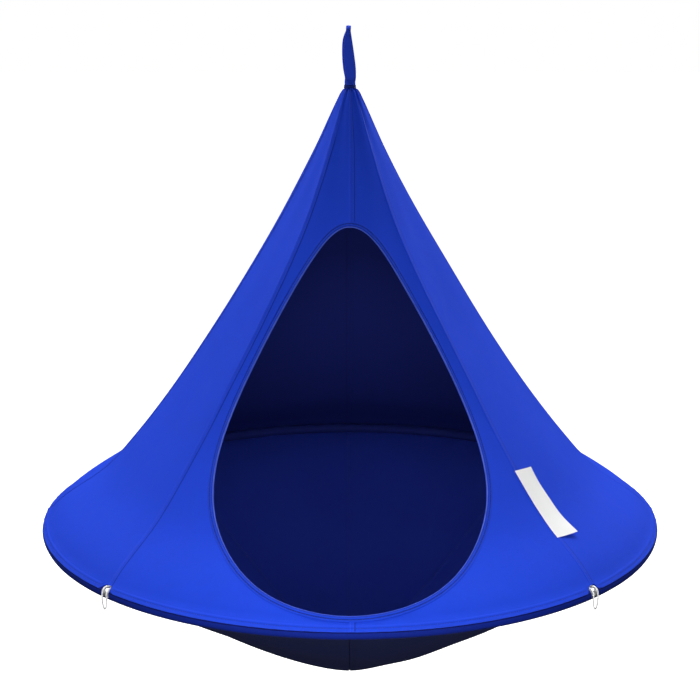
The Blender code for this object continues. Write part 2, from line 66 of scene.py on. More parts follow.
# ---------------- sizes shared with the part
RING_RADIUS = 0.7375
NECK_HEIGHT = 1.046
LOOP_DROP = 0.134
SEAT_DEPTH = 0.404
TUBE_RADIUS = 0.0110
TUBE_WALL = 0.0015
SLEEVE_RADIUS = 0.0128
SLEEVE_WALL = 0.0012
CLOTH = 0.0020
DOOR_BOTTOM = 0.031
DOOR_TOP = 0.7084 * NECK_HEIGHT
DOOR_HALF_WIDTH = 0.2455
DOOR_EGG = 0.69
HEM_WIDTH = 0.014
DOOR_TO_SEAM = 0.012
CONE_PATTERN = (
    (0.000, 1.0255), (0.048, 0.949), (0.115, 0.816), (0.191, 0.716), (0.306, 0.588), (0.430, 0.467),
    (0.574, 0.338), (0.717, 0.218), (0.860, 0.113), (0.956, 0.050), (1.000, 0.0197),
)
FLATNESS = 0.85
FLAT_ABOVE = 0.478
RIM_SLOPE = math.radians(47)
SEAT_POWER = 1.43
SEAT_FULLNESS = 1.28
SEAT_SLOPE = math.radians(72)
STRAP_WIDTH = 0.026
STRAP_TIP_WIDTH = 0.012
EYE_RADIUS = 0.008
CORD_RADIUS = 0.0017
TIE_SIDE = 0.0075
TIE_DROP = 0.034
OPENING_HALF = TIE_SIDE + CORD_RADIUS + 0.0038
LABEL_LENGTH = 0.126
LABEL_WIDTH = 0.058
LABEL_TOP = 0.2215
TAPE_WIDTH = 0.012
SPIGOT_HALF = 0.060

RIM_Z = -LOOP_DROP - NECK_HEIGHT
PIVOT_Z = -LOOP_DROP
TANGENT_HEIGHT = SLEEVE_RADIUS * math.sin(RIM_SLOPE)
GORES = 8
CORNERS = (1, 3, 5, 7)        # seams that end at a ring joint, where the ties are
DOOR_GORES = (0, GORES - 1)   # the gores that the door is cut from
TAU = math.tau
MM = 0.001
RIM_LAP = 3.4 * MM            # how far the cone cloth laps down over the tunnel
RIM_STITCH = 4.4 * MM         # stitch row of the rim hem, above the rim seam
NOTCH_FADE = 0.075            # length of cone cloth over which a tie notch is taken up
HEM_STITCHES = (2.8 * MM, 8.6 * MM)
PATCH_STITCH = 55.5 * MM
STRAP_STITCH = 2.6 * MM       # stitch rows of the strap, in from its edges
NECK_TOP = 15.0 * MM          # top of the gathered neck, over the pivot
LABEL_SLANT = 7.0 * MM        # how much lower the label's free edge runs than its sewn edge
LABEL_LIFT = 9.0 * MM         # how far the label's free lower corner stands off


def linked(name, data):
    ob = bpy.data.objects.new(name, data)
    bpy.context.scene.collection.objects.link(ob)
    return ob


# ---------------- camera
def add_camera():
    data = bpy.data.cameras.new("camera")
    data.sensor_width = 36.0
    data.lens = 82.5
    ob = bpy.context.scene.camera = linked("camera", data)
    ob.location = (0.0, -3.772, RIM_Z + 1.330)
    ob.rotation_euler = (math.radians(76.35), 0.0, 0.0)


add_camera()


# ---------------- node helpers
def add(tree, kind, inputs=None, **props):
    node = tree.nodes.new(kind)
    for key, value in props.items():
        setattr(node, key, value)
    for key, value in (inputs or {}).items():
        socket = node.inputs[key]
        if isinstance(value, bpy.types.NodeSocket):
            tree.links.new(value, socket)
        else:
            socket.default_value = value
    return node


def calc(tree, operation, a, b=0.0, c=0.0):
    return add(tree, "ShaderNodeMath", {0: a, 1: b, 2: c}, operation=operation).outputs[0]


def blank(name, roughness=0.8, **sockets):
    mat = bpy.data.materials.new(name)
    mat.use_nodes = True
    tree = mat.node_tree
    shader = tree.nodes["Principled BSDF"]
    shader.inputs["Roughness"].default_value = roughness
    for key, value in sockets.items():
        shader.inputs[key.replace("_", " ")].default_value = value
    return mat, tree, shader


def colours(tree, factor, a, b):
    """Mix of two colours; each is a colour or a socket."""
    a, b = ((*c, 1.0) if isinstance(c, tuple) else c for c in (a, b))
    return add(tree, "ShaderNodeMix", {0: factor, 6: a, 7: b}, data_type="RGBA").outputs[2]


def numbers(tree, factor, a, b):
    return add(tree, "ShaderNodeMix", {0: factor, 2: a, 3: b}, data_type="FLOAT").outputs[0]


def noise(tree, vector, scale, detail=2.0, roughness=0.5):
    return add(tree, "ShaderNodeTexNoise", {"Vector": vector, "Scale": scale, "Detail": detail,
                                            "Roughness": roughness}).outputs[0]


def cloth_measure(tree):
    return add(tree, "ShaderNodeUVMap", uv_map="cloth").outputs[0]


def scaled(tree, vector, scale):
    return add(tree, "ShaderNodeMapping", {0: vector, 3: scale}).outputs[0]


def in_object(tree):
    return add(tree, "ShaderNodeTexCoord").outputs["Object"]


def point_field(tree, name):
    return add(tree, "ShaderNodeAttribute", attribute_name=name).outputs[2]


def coat(tree, shader, colour, relief, strength, depth):
    """Gives the shader its colour and its bump."""
    tree.links.new(colour, shader.inputs["Base Color"])
    bump = add(tree, "ShaderNodeBump", {"Strength": strength, "Distance": depth, "Height": relief})
    tree.links.new(bump.outputs[0], shader.inputs["Normal"])


def tint(colour, share):
    return tuple(min(c * share, 1.0) for c in colour)


def woven(name, colour, pitch=0.9 * MM, depth=0.10 * MM, contrast=0.12, mottle=0.10, roughness=0.82,
          sheen=0.035, sheen_tint=(0.05, 0.18, 1.0), rib=False, worn=1.25, faded_and_lit_colour=None):
    """Plain weave from the cloth's own measure, with uneven yarns and mottling; raised edges lighter, partly
    wear and partly painted highlight, and painted shade in seams and stitch rows.
    """
    mat, tree, shader = blank(name, roughness, Sheen_Weight=sheen, Sheen_Roughness=0.55,
                              Sheen_Tint=(*sheen_tint, 1.0), Specular_IOR_Level=0.10)
    measure, place = cloth_measure(tree), in_object(tree)
    part = add(tree, "ShaderNodeSeparateXYZ", {0: measure}).outputs
    warp, weft = (calc(tree, "SINE", calc(tree, "MULTIPLY", part[k], math.pi / pitch)) for k in (0, 1))
    over = 1.0 if rib else calc(tree, "GREATER_THAN", calc(tree, "MULTIPLY", warp, weft), 0.0)
    height = numbers(tree, over, calc(tree, "ABSOLUTE", weft), calc(tree, "ABSOLUTE", warp))
    along, across = 1.0 / (40 * pitch), 1.0 / pitch
    slub = noise(tree, scaled(tree, measure, (along, across, 1.0)), 1.0)
    slub_across = noise(tree, scaled(tree, measure, (across, along, 1.0)), 1.0)
    cloudy, fine = noise(tree, place, 3.2, 4.0, 0.6), noise(tree, place, 38.0, 3.0)
    yarn = calc(tree, "MULTIPLY_ADD", height, contrast, 0.5 - contrast / 2)
    streaks = calc(tree, "MULTIPLY_ADD", calc(tree, "ADD", slub, slub_across), contrast, -contrast)
    clouds = calc(tree, "MULTIPLY_ADD", cloudy, mottle * 3.2, -mottle * 1.6)
    specks = calc(tree, "MULTIPLY_ADD", fine, mottle, -mottle / 2)
    factor = calc(tree, "ADD", calc(tree, "ADD", yarn, streaks), calc(tree, "ADD", clouds, specks))
    factor = add(tree, "ShaderNodeClamp", {0: factor}).outputs[0]
    # the field is above 0 where an edge is lighter, partly wear and partly painted highlight, and below 0
    # where a seam or stitch groove gets painted shade
    field = point_field(tree, "worn")
    edge = calc(tree, "MULTIPLY", calc(tree, "MAXIMUM", field, 0.0),
                calc(tree, "MULTIPLY_ADD", fine, 0.8, 0.35))
    painted_seam_shade = calc(tree, "MAXIMUM", calc(tree, "MULTIPLY", field, -1.0), 0.0)
    # the lighter edge colour: partly wear, partly painted highlight
    faded_and_lit_colour = faded_and_lit_colour or tuple(min(c * worn + 0.048 * (worn - 1), 1.0) for c in colour)
    unshaded = colours(tree, edge, colours(tree, factor, tint(colour, 0.72), tint(colour, 1.28)), faded_and_lit_colour)
    rough = calc(tree, "MULTIPLY_ADD", fine, 0.16, roughness - 0.08)
    tree.links.new(rough, shader.inputs["Roughness"])
    relief = calc(tree, "ADD", height, calc(tree, "MULTIPLY", slub, 0.6))
    # painted shade: below 0 the field darkens the cloth towards a sixth of its colour
    coat(tree, shader, colours(tree, painted_seam_shade, unshaded, tint(colour, 0.16)), relief, 0.55, depth)
    return mat


def thread(name, colour):
    """Twisted sewing thread."""
    mat, tree, shader = blank(name, 0.6, Sheen_Weight=0.2, Specular_IOR_Level=0.4)
    speck = noise(tree, in_object(tree), 900.0)
    coat(tree, shader, colours(tree, speck, tint(colour, 0.7), tint(colour, 1.3)), speck, 0.5, 0.1 * MM)
    return mat


def braid(name):
    """White polyester cord, with painted shade in the hollows between its strands."""
    mat, tree, shader = blank(name, 0.62, Sheen_Weight=0.3, Sheen_Roughness=0.4, Specular_IOR_Level=0.4)
    fibre = noise(tree, in_object(tree), 1400.0)
    # painted shade: the hollows between strands darken towards grey
    low = calc(tree, "MULTIPLY", point_field(tree, "valley"), 0.25)
    base = colours(tree, fibre, (0.88, 0.88, 0.88), (0.97, 0.97, 0.97))
    coat(tree, shader, colours(tree, low, base, (0.50, 0.50, 0.52)), fibre, 0.4, 0.1 * MM)
    return mat


def drawn_tube(name):
    """Aluminium tube with fine drawing lines and a dull oxide mottle."""
    mat, tree, shader = blank(name, 0.36, Metallic=1.0)
    scratch = noise(tree, scaled(tree, cloth_measure(tree), (14.0, 3000.0, 1.0)), 1.0, 3.0)
    oxide = noise(tree, in_object(tree), 60.0, 4.0)
    tree.links.new(calc(tree, "MULTIPLY_ADD", scratch, 0.25, 0.26), shader.inputs["Roughness"])
    coat(tree, shader, colours(tree, oxide, (0.50, 0.51, 0.53), (0.78, 0.79, 0.81)), scratch, 0.3,
         0.05 * MM)
    return mat


BLUE = (0.0105, 0.0520, 0.62)
LOOK_OUT = woven("cone_canvas", BLUE)
# the rim tunnel is the same blue cloth, coloured darker: painted shade for the band under the rim
LOOK_TUNNEL_SHADED = woven("tunnel_canvas_painted_shade", (0.0050, 0.0185, 0.250), sheen=0.015, worn=1.8)
# the inner face of the same blue cloth, coloured about five times darker: painted shade for the pod's inside
# and the sleeve's inward half
LOOK_IN_SHADED = woven("cone_canvas_inside_painted_shade", (0.0085, 0.0150, 0.128), sheen=0.02)
LOOK_SEAT_IN = woven("seat_canvas_inside", (0.0140, 0.0320, 0.310), mottle=0.16, sheen=0.02)
# the seat's underside coloured near-black navy: painted shade where the bowl hangs in shade
LOOK_SEAT_OUT_SHADED = woven("seat_canvas_underside_painted_shade", (0.0140, 0.0180, 0.085), mottle=0.14, sheen=0.02)
# its edge colour is lighter and greyer: partly wear, partly painted highlight on the folded nose
LOOK_HEM = woven("hem_canvas", (0.0105, 0.0500, 0.58), pitch=0.8 * MM, faded_and_lit_colour=(0.095, 0.150, 0.68))
LOOK_LOOP = woven("loop_canvas", (0.0200, 0.0600, 0.60), pitch=0.8 * MM, worn=1.5)
LOOK_TAPE = woven("tape_twill", (0.0085, 0.0150, 0.128), pitch=1.1 * MM, rib=True, sheen=0.02)
LOOK_CROWN = woven("crown_canvas", (0.0070, 0.0200, 0.20), pitch=0.8 * MM)
LOOK_WEBBING = woven("loop_webbing_weave", (0.010, 0.016, 0.06), pitch=1.6 * MM, depth=0.3 * MM,
                     rib=True)
LOOK_LABEL = woven("label_satin", (0.96, 0.96, 0.96), pitch=0.35 * MM, depth=0.03 * MM, contrast=0.03,
                   mottle=0.02, roughness=0.55, sheen=0.1, sheen_tint=(1.0, 1.0, 1.0), worn=1.0)
LOOK_THREAD = thread("thread_blue", (0.009, 0.028, 0.36))
LOOK_THREAD_DARK = thread("thread_navy", (0.010, 0.020, 0.13))
LOOK_CORD = braid("tie_braid")
LOOK_TUBE = drawn_tube("ring_aluminium")


# ---------------- mesh helpers
def build(name, verts, faces, looks, face_look=None, uv=None, sharp=42.0, **fields):
    """A mesh object from points and faces, with its cloth measure as UV and its point fields."""
    mesh = bpy.data.meshes.new(name)
    mesh.from_pydata(np.asarray(verts, float).tolist(), [], [list(map(int, f)) for f in faces])
    for look in looks:
        mesh.materials.append(look)
    if face_look is not None:
        mesh.polygons.foreach_set("material_index", np.asarray(face_look, np.int32))
    layer = mesh.uv_layers.new(name="cloth")
    corner = np.empty(len(mesh.loops), np.int32)
    mesh.loops.foreach_get("vertex_index", corner)
    if uv is None:
        uv = np.asarray(verts, float)[:, :2]
    layer.data.foreach_set("uv", np.asarray(uv, np.float32)[corner].ravel())
    for field, values in {"worn": np.zeros(len(verts)), **fields}.items():
        mesh.attributes.new(field, "FLOAT", "POINT").data.foreach_set(
            "value", np.asarray(values, np.float32))
    mesh.shade_smooth()
    mesh.set_sharp_from_angle(angle=math.radians(sharp))
    return linked(name, mesh)


def slab(name, outer, inner, looks, keep=None, uv=None, worn=None):
    """A closed sheet between an outer and an inner grid of points; keep says which cells it has."""
    count = outer[..., 0].size
    index = np.arange(count).reshape(outer.shape[:2])
    cells = np.stack([index[:-1, :-1], index[:-1, 1:], index[1:, 1:], index[1:, :-1]], -1)
    cells = cells.reshape(-1, 4)
    if keep is not None:
        cells = cells[keep.reshape(-1)]
    sides = np.concatenate([cells[:, [k, (k + 1) % 4]] for k in range(4)])
    key, back = sides[:, 0] * count + sides[:, 1], sides[:, 1] * count + sides[:, 0]
    rim = sides[~np.isin(key, back)]
    walls = np.stack([rim[:, 1], rim[:, 0], rim[:, 0] + count, rim[:, 1] + count], -1)
    faces = np.concatenate([cells, cells[:, ::-1] + count, walls])
    look = np.concatenate([np.zeros(len(cells)), np.ones(len(cells)), np.zeros(len(walls))])
    verts = np.concatenate([outer.reshape(-1, 3), inner.reshape(-1, 3)])
    used, faces = np.unique(faces, return_inverse=True)
    faces = faces.reshape(-1, 4)
    uv = np.concatenate([uv.reshape(-1, 2)] * 2)[used] if uv is not None else None
    worn = np.zeros(count) if worn is None else worn.reshape(-1)
    worn = np.concatenate([worn, 0.3 * worn])[used]      # an inner face gets less of the wear and painted light
    return build(name, verts[used], faces, looks, look, uv, worn=worn)


def tube(name, rings, looks, closed=False, uv=None, sharp=60.0, **fields):
    """A skin over rings of points (ring, side, xyz); closed joins the last ring to the first."""
    steps, sides = rings.shape[:2]
    index = np.arange(steps * sides).reshape(steps, sides)
    a, b = (index, np.roll(index, -1, 0)) if closed else (index[:-1], index[1:])
    faces = np.stack([a, np.roll(a, -1, 1), np.roll(b, -1, 1), b], -1).reshape(-1, 4).tolist()
    if not closed:
        faces += [index[0, ::-1].tolist(), index[-1].tolist()]
    uv = uv.reshape(-1, 2) if uv is not None else None
    return build(name, rings.reshape(-1, 3), faces, looks, None, uv, sharp, **fields)


def fit(ob, node, body="pod"):
    """The piece rides the body and stands for the CAD node, which it hides."""
    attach(ob, body)
    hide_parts(node)
    return ob


def ease(x):
    x = np.clip(x, 0.0, 1.0)
    return x * x * (3 - 2 * x)


def mix(a, b, t):
    return a + (b - a) * t


def ridge(distance, half):
    return np.exp(-((distance / half) ** 2))


def unit(v):
    return v / np.maximum(np.linalg.norm(v, axis=-1, keepdims=True), 1e-12)


def wrapped(angle):
    return (angle + math.pi) % TAU - math.pi


def run_of(points):
    """Distance along a line of points, at each of them."""
    return np.concatenate([[0.0], np.cumsum(np.linalg.norm(np.diff(points, axis=0), axis=1))])


def repeated(values):
    """A closed line: the first entry again at the end."""
    return np.vstack([values, values[:1]])


def outward(azimuth):
    return np.stack([np.sin(azimuth), -np.cos(azimuth), np.zeros_like(azimuth)], -1)


def smooth_line(points, count):
    """A Catmull-Rom curve through the points, in even steps of length."""
    p = np.asarray(points, float)
    p = np.vstack([2 * p[0] - p[1], p, 2 * p[-1] - p[-2]])
    fine = []
    for i in range(1, len(p) - 2):
        t = np.linspace(0, 1, 24, endpoint=False)[:, None]
        a, b, c, d = p[i - 1], p[i], p[i + 1], p[i + 2]
        fine.append(0.5 * (2 * b + (c - a) * t + (2 * a - 5 * b + 4 * c - d) * t**2
                           + (3 * b - a - 3 * c + d) * t**3))
    fine = np.vstack([*fine, p[-2]])
    far = run_of(fine[:, :3])
    even = np.linspace(0, far[-1], count)
    return np.stack([np.interp(even, far, fine[:, k]) for k in range(fine.shape[1])], -1)


# a stitch: place along it and swell at each of its four sections, and the faces between their points
STITCH_PROFILE = ((-0.5, 0.25), (-0.28, 1.0), (0.28, 1.0), (0.5, 0.25))
STITCH_CELLS = np.array(
    [(4 * s + k, 4 * s + (k + 1) % 4, 4 * s + 4 + (k + 1) % 4, 4 * s + 4 + k)
     for s in range(3) for k in range(4)] + [(3, 2, 1, 0), (12, 13, 14, 15)])[:, ::-1]


def stitches(name, runs, look, pitch=5.0 * MM, length=3.4 * MM, radius=0.28 * MM):
    """Rows of sewn stitches: each run is a line of points with its outward normals."""
    verts, faces, count = [], [], 0
    for points, normals in runs:
        far = run_of(points)
        centre = np.arange(pitch / 2, far[-1], pitch)

        def along(values, at):
            return np.stack([np.interp(at, far, values[:, k]) for k in range(3)], -1)

        ahead = unit(along(points, centre + length / 2) - along(points, centre - length / 2))
        up = unit(along(normals, centre))
        side = unit(np.cross(ahead, up))
        block = []
        for shift, swell in STITCH_PROFILE:
            middle = along(points, np.clip(centre + shift * length, 0, far[-1]))
            sink = -radius * 0.9 * (1 - swell)
            wide = radius * (0.35 + 0.65 * swell)
            for turn in TAU * (np.arange(4) + 0.5) / 4:
                out, over = wide * math.cos(turn), wide * math.sin(turn) + sink
                block.append(middle + side * out + up * over)
        verts.append(np.stack(block, 1).reshape(-1, 3))
        base = count + 16 * np.arange(len(centre))[:, None, None]
        faces.append((base + STITCH_CELLS[None]).reshape(-1, 4))
        count += len(verts[-1])
    return build(name, np.concatenate(verts), np.concatenate(faces), [look], sharp=70.0)


def sew(name, runs, look=LOOK_THREAD, body="pod", **sizes):
    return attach(stitches(name, runs, look, **sizes), body)


# ---------------- the cone's surface
PAT_H = np.array([s[0] for s in CONE_PATTERN]) * NECK_HEIGHT
PAT_R = np.array([s[1] for s in CONE_PATTERN]) * RING_RADIUS
PAT_NEXT = np.minimum(np.arange(len(PAT_H)) + 1, len(PAT_H) - 1)
PAT_LAST = np.maximum(np.arange(len(PAT_H)) - 1, 0)
PAT_TILT = (PAT_R[PAT_NEXT] - PAT_R[PAT_LAST]) / (PAT_H[PAT_NEXT] - PAT_H[PAT_LAST])
CROWN_NECK = 0.0124           # radius at which the cloth goes in under the crown binding
NECK_PULL = (11.0 * MM, 6.0 * MM)     # the pull-in starts this far below the neck and takes this long


def pattern_radius(h):
    h = np.asarray(h, float)
    i = np.clip(np.searchsorted(PAT_H, h, side="right") - 1, 0, len(PAT_H) - 2)
    span = PAT_H[i + 1] - PAT_H[i]
    t = (h - PAT_H[i]) / span
    r = (PAT_R[i] * (2 * t**3 - 3 * t**2 + 1) + PAT_R[i + 1] * (3 * t**2 - 2 * t**3)
         + span * (PAT_TILT[i] * (t**3 - 2 * t**2 + t) + PAT_TILT[i + 1] * (t**3 - t**2)))
    return mix(r, CROWN_NECK, ease((h - NECK_HEIGHT + NECK_PULL[0]) / NECK_PULL[1]))


def seam_azimuth(seam, h):
    """Seams 0, 2, 4 and 6 are on the axes; the diagonal ones lean towards front and back."""
    share = h / NECK_HEIGHT
    d = np.radians(45.0 + 1.5 * ease(share / 0.143) - 8.5 * ease((share - 0.335) / 0.526))
    q = math.pi / 2
    z = 0 * d
    return np.choose(seam, [z, d, q + z, 2 * q - d, 2 * q + z, 2 * q + d, 3 * q + z, 4 * q - d,
                            4 * q + z])


def cone_at(p, h):
    """Azimuth and radius of the cloth; p counts gores round from the door."""
    low = np.floor(p)
    g, f = low.astype(int) % GORES, p - low
    a, b = seam_azimuth(g, h), seam_azimuth(g + 1, h)
    azimuth = mix(a, b, f)
    flat = np.cos((b - a) / 2) / np.cos(azimuth - (a + b) / 2)
    pull = FLATNESS * np.minimum(h / NECK_HEIGHT / FLAT_ABOVE, 1.0)
    return azimuth, pattern_radius(h) * (1 - pull * (1 - flat))


def gore_width(gore, h):
    gore = np.full(np.shape(h), gore % GORES)
    return (seam_azimuth(gore + 1, h) - seam_azimuth(gore, h)) * pattern_radius(h)


ARC_H = np.linspace(TANGENT_HEIGHT, NECK_HEIGHT, 4000)
ARC = np.concatenate([[0.0], np.cumsum(np.hypot(np.diff(ARC_H), np.diff(pattern_radius(ARC_H))))])


def arc_height(arc):
    return np.interp(arc, ARC, ARC_H)


def arc_at(h):
    return np.interp(h, ARC_H, ARC)


ARC_TOP = arc_at(NECK_HEIGHT - 2 * MM)
rng = np.random.default_rng(11)
# gathers running down from the crown: azimuth, width as an angle, depth, length
GATHERS = [(math.radians(46), 0.14, -3.4 * MM, 0.130), (math.radians(30), 0.12, 1.4 * MM, 0.120),
           (math.radians(62), 0.16, 1.8 * MM, 0.110), (math.radians(14), 0.12, -0.9 * MM, 0.170),
           (math.radians(-24), 0.15, -1.1 * MM, 0.130), (math.radians(-8), 0.10, 0.8 * MM, 0.200),
           (math.radians(-45), 0.13, -1.8 * MM, 0.110)]
for k in range(16):
    GATHERS.append((math.radians(80 + 14 * k + rng.uniform(-5, 5)), rng.uniform(0.09, 0.17),
                    (1 if k % 2 else -1) * rng.uniform(0.9, 2.0) * MM, rng.uniform(0.05, 0.17)))
# long soft tension waves in the taut cloth: turns round, cycles up, phase, size
WAVES = [(int(rng.integers(3, 13)), rng.uniform(-3, 3), rng.uniform(0, TAU), rng.uniform(0.2, 0.55) * MM)
         for _ in range(11)]


def cone_relief(azimuth, h, arc):
    """Folds of the cone cloth, as a height over its taut surface."""
    d = np.zeros(np.shape(azimuth))
    below = np.maximum(NECK_HEIGHT - h, 0.0)
    radius = pattern_radius(h)
    for centre, width, depth, length in GATHERS:
        away = wrapped(azimuth - centre)
        spread = np.maximum(width * radius, 1.5 * MM)
        size = depth * np.minimum(1.0, radius / 0.016) * np.exp(-((below / length) ** 1.4))
        d += size * ridge(away * radius, spread)
    calm = ease(below / 0.25) * ease((arc - 0.01) / 0.10)
    for turns, cycles, phase, size in WAVES:
        d += calm * size * np.sin(turns * azimuth + TAU * cycles * h / NECK_HEIGHT + phase)
    # the cloth draws in a little just above the rim tunnel
    uneven = 0.75 + 0.25 * np.sin(46 * azimuth + np.sin(7 * azimuth))
    d -= 0.9 * MM * ridge(arc - 0.022, 0.010) * uneven
    # small puckers that the rim seam draws
    near_rim = np.exp(-np.maximum(arc, 0) / 0.014)
    return d + 0.35 * MM * np.sin(azimuth * 232 + 1.6 * np.sin(azimuth * 31)) * near_rim


def cone_point(p, h, level):
    """Point of the cone cloth at a level over its taut surface."""
    azimuth, radius = cone_at(p, h)
    low, high = h - MM, np.minimum(h + MM, NECK_HEIGHT)
    slope = (pattern_radius(high) - pattern_radius(low)) / (high - low)
    steep = np.hypot(1, slope)
    point = outward(azimuth) * (radius + level / steep)[..., None]
    point[..., 2] = RIM_Z + h - level * slope / steep
    return point


def taut_point(p, h):
    return cone_point(p, h, np.zeros(np.shape(h)))


def cone_normal(p, h):
    return unit(cone_point(p, h, np.full(np.shape(h), MM)) - taut_point(p, h))


def on_tunnel(azimuth, turn, reach):
    """Point beside the ring's centre line, at a turn above the horizontal."""
    point = outward(azimuth) * (RING_RADIUS + reach * np.cos(turn))[..., None]
    point[..., 2] = RIM_Z + reach * np.sin(turn)
    return point


def cloth_point(p, arc, level):
    """Point of the cone cloth by its length up from the rim seam; below, it laps the tunnel."""
    h = arc_height(arc)
    azimuth, _ = cone_at(p, h)
    relief = cone_relief(azimuth, h, arc)
    point = cone_point(p, h, level + relief)
    turn = RIM_SLOPE + np.minimum(arc, 0.0) / SLEEVE_RADIUS
    lap = on_tunnel(azimuth, turn, SLEEVE_RADIUS + level + relief)
    return np.where((arc < 0)[..., None], lap, point)


# ---------------- the door's edge
def on_front(x, h):
    """Position, in gores from the door's centre line, of the cone's point at that x and height."""
    low, high = np.zeros(np.shape(x)), np.full(np.shape(x), 1.6)
    for _ in range(40):
        middle = (low + high) / 2
        azimuth, radius = cone_at(middle, h)
        less = radius * np.sin(azimuth) < np.abs(x)
        low, high = np.where(less, middle, low), np.where(less, high, middle)
    return np.where(x >= 0, low, -low)


def door_line(count):
    """Even points round the door's edge with the outward normal and the way from the opening."""
    t = np.linspace(0, TAU, 2400)
    h = mix(DOOR_BOTTOM, DOOR_TOP, (1 + np.cos(t)) / 2)
    half = DOOR_HALF_WIDTH * np.exp(-DOOR_EGG * np.cos(t))
    azimuth, radius = cone_at(np.full_like(h, 1.0), h)
    room = radius * np.sin(azimuth) - HEM_WIDTH - DOOR_TO_SEAM
    x = np.copysign(np.minimum(np.abs(half * np.sin(t)), room), np.sin(t))
    far = run_of(taut_point(on_front(x, h), h))
    even = far[-1] * (np.arange(count) / count + 0.5) % far[-1]
    x, h = np.interp(even, far, x), np.interp(even, far, h)
    p = on_front(x, h)
    point, normal = taut_point(p, h), cone_normal(p, h)
    for _ in range(6):
        normal = unit(normal + np.roll(normal, 1, 0) + np.roll(normal, -1, 0))
    ahead = unit(np.roll(point, -1, 0) - np.roll(point, 1, 0))
    away = unit(np.cross(normal, ahead))
    away *= np.sign(((point - point.mean(0)) * away).sum(-1).mean())
    relief = cone_relief(np.arctan2(point[:, 0], -point[:, 1]), h, arc_at(h))
    return point + normal * relief[:, None], normal, away, far[-1]


DOOR_STEPS = 560
DOOR_POINT, DOOR_NORMAL, DOOR_AWAY, DOOR_ROUND = door_line(DOOR_STEPS)
# the cone cloth is trimmed to this line, out of sight in the binding
TRIM = (DOOR_POINT + DOOR_AWAY * (HEM_WIDTH - 2.5 * MM))[:, [0, 2]]
TRIM_EDGES = list(zip(TRIM, np.roll(TRIM, -1, 0)))


def inside_trim(x, z):
    inside = np.zeros(x.shape, bool)
    for (x0, z0), (x1, z1) in TRIM_EDGES:
        if z0 != z1:
            inside ^= ((z0 > z) != (z1 > z)) & (x < x0 + (z - z0) * (x1 - x0) / (z1 - z0))
    return inside


def to_trim(x, z):
    """Nearest point of the trim line."""
    best = np.full(x.shape, np.inf)
    near = here = np.stack([x, z], -1)
    for a, b in TRIM_EDGES:
        t = np.clip(((here - a) @ (b - a)) / ((b - a) @ (b - a)), 0, 1)
        q = a + t[..., None] * (b - a)
        far = np.linalg.norm(here - q, axis=-1)
        near = np.where((far < best)[..., None], q, near)
        best = np.minimum(best, far)
    return near[..., 0], near[..., 1]


# ---------------- cone gores
SEAM_START = np.array([0.15, 0.8, 1.8, 3.6, 6.5, 8.4, 9.2, 10.0, 10.8, 12.0, 14.0]) * MM
SEAM_END = np.array([-11.0, -6.5, -4.4, -3.4, -2.6, -1.8, -1.0, -0.3, 0.5, 1.1, 1.7, 2.3, 3.2, 4.4, 5.6,
                     6.3, 6.9, 7.5, 8.1, 8.6, 8.95, 9.0]) * MM
STITCH_AT = (1.7 * MM, 6.9 * MM)
MIDDLE = 40                   # columns between a gore's two seams
RIM_ROWS = np.array([-3.4, -3.3, -2.9, -2.0, -1.0, 0.0, 1.2, 2.4, 3.4, 4.0, 4.6, 5.4, 6.6, 8.0, 9.4, 10.6,
                     12.0, 14.5, 18.0, 22.0, 27.0, 33.0, 40.0]) * MM
ROW_ARCS = np.concatenate([RIM_ROWS, np.linspace(0.048, ARC_TOP - 0.010, 140),
                           ARC_TOP - np.array([8.0, 6.0, 4.0, 2.0, 0.0]) * MM])


def tie_notch(distance):
    """How far the rim edge of the cloth is cut up, along the cloth, beside a tie."""
    return 15.5 * MM * (1 - ease((np.abs(distance) - 8.5 * MM) / (8.0 * MM)))


def notched(arc, distance):
    """Arc lengths drawn up beside a tie; higher up the cloth is as it was."""
    return arc + tie_notch(distance) * (1 - ease((arc + RIM_LAP) / NOTCH_FADE))


def seam_scale(gore, h):
    """The lapped seams narrow where the gores do, towards the crown."""
    return np.minimum(1.0, gore_width(gore, h) / 0.050)


def gore_grid(gore):
    """A gore's grid: position in gores, arc length, way across it and past its seam, seam scale."""
    h = arc_height(ROW_ARCS)
    width, beyond = gore_width(gore, h), gore_width(gore + 1, h)
    k = seam_scale(gore, h)
    start = k[:, None] * SEAM_START
    middle = mix(start[:, -1:], (width + k * SEAM_END[0])[:, None], np.linspace(0, 1, MIDDLE + 2)[1:-1])
    end = width[:, None] + k[:, None] * SEAM_END
    s = np.concatenate([start, middle, end], 1)
    past = s - width[:, None]
    p = gore + np.where(past <= 0, s / width[:, None], 1 + past / beyond[:, None])
    arc = notched(np.repeat(ROW_ARCS[:, None], s.shape[1], 1), s if gore % 2 else past)
    return p, arc, s, past, k[:, None]


def lap_levels(arc, past, k):
    """Levels of the outer and inner face: seams lap over the next gore and the rim hem is doubled."""
    scaled = past / k
    over = ease((scaled + 3.4 * MM) / (3.2 * MM))
    outer = 0.95 * MM * over
    for row in STITCH_AT:
        outer = outer - 0.30 * MM * ridge(scaled - row, 0.65 * MM) * (scaled > 0)
    outer = outer - 0.42 * MM * ease((scaled - 8.3 * MM) / (0.7 * MM))
    inner = mix(-CLOTH, 0.12 * MM, over)
    hem = 1 - ease((arc - 8.6 * MM) / (2.6 * MM))
    outer = outer + 0.85 * MM * hem - 0.28 * MM * ridge(arc - RIM_STITCH, 0.8 * MM)
    outer = outer - 0.45 * MM * (1 - ease((arc + RIM_LAP) / (0.9 * MM)))
    inner = np.maximum(inner, -np.maximum(arc, 0) ** 2 / (2 * SLEEVE_RADIUS) + 0.15 * MM)
    return np.maximum(outer, inner + 0.35 * MM), inner


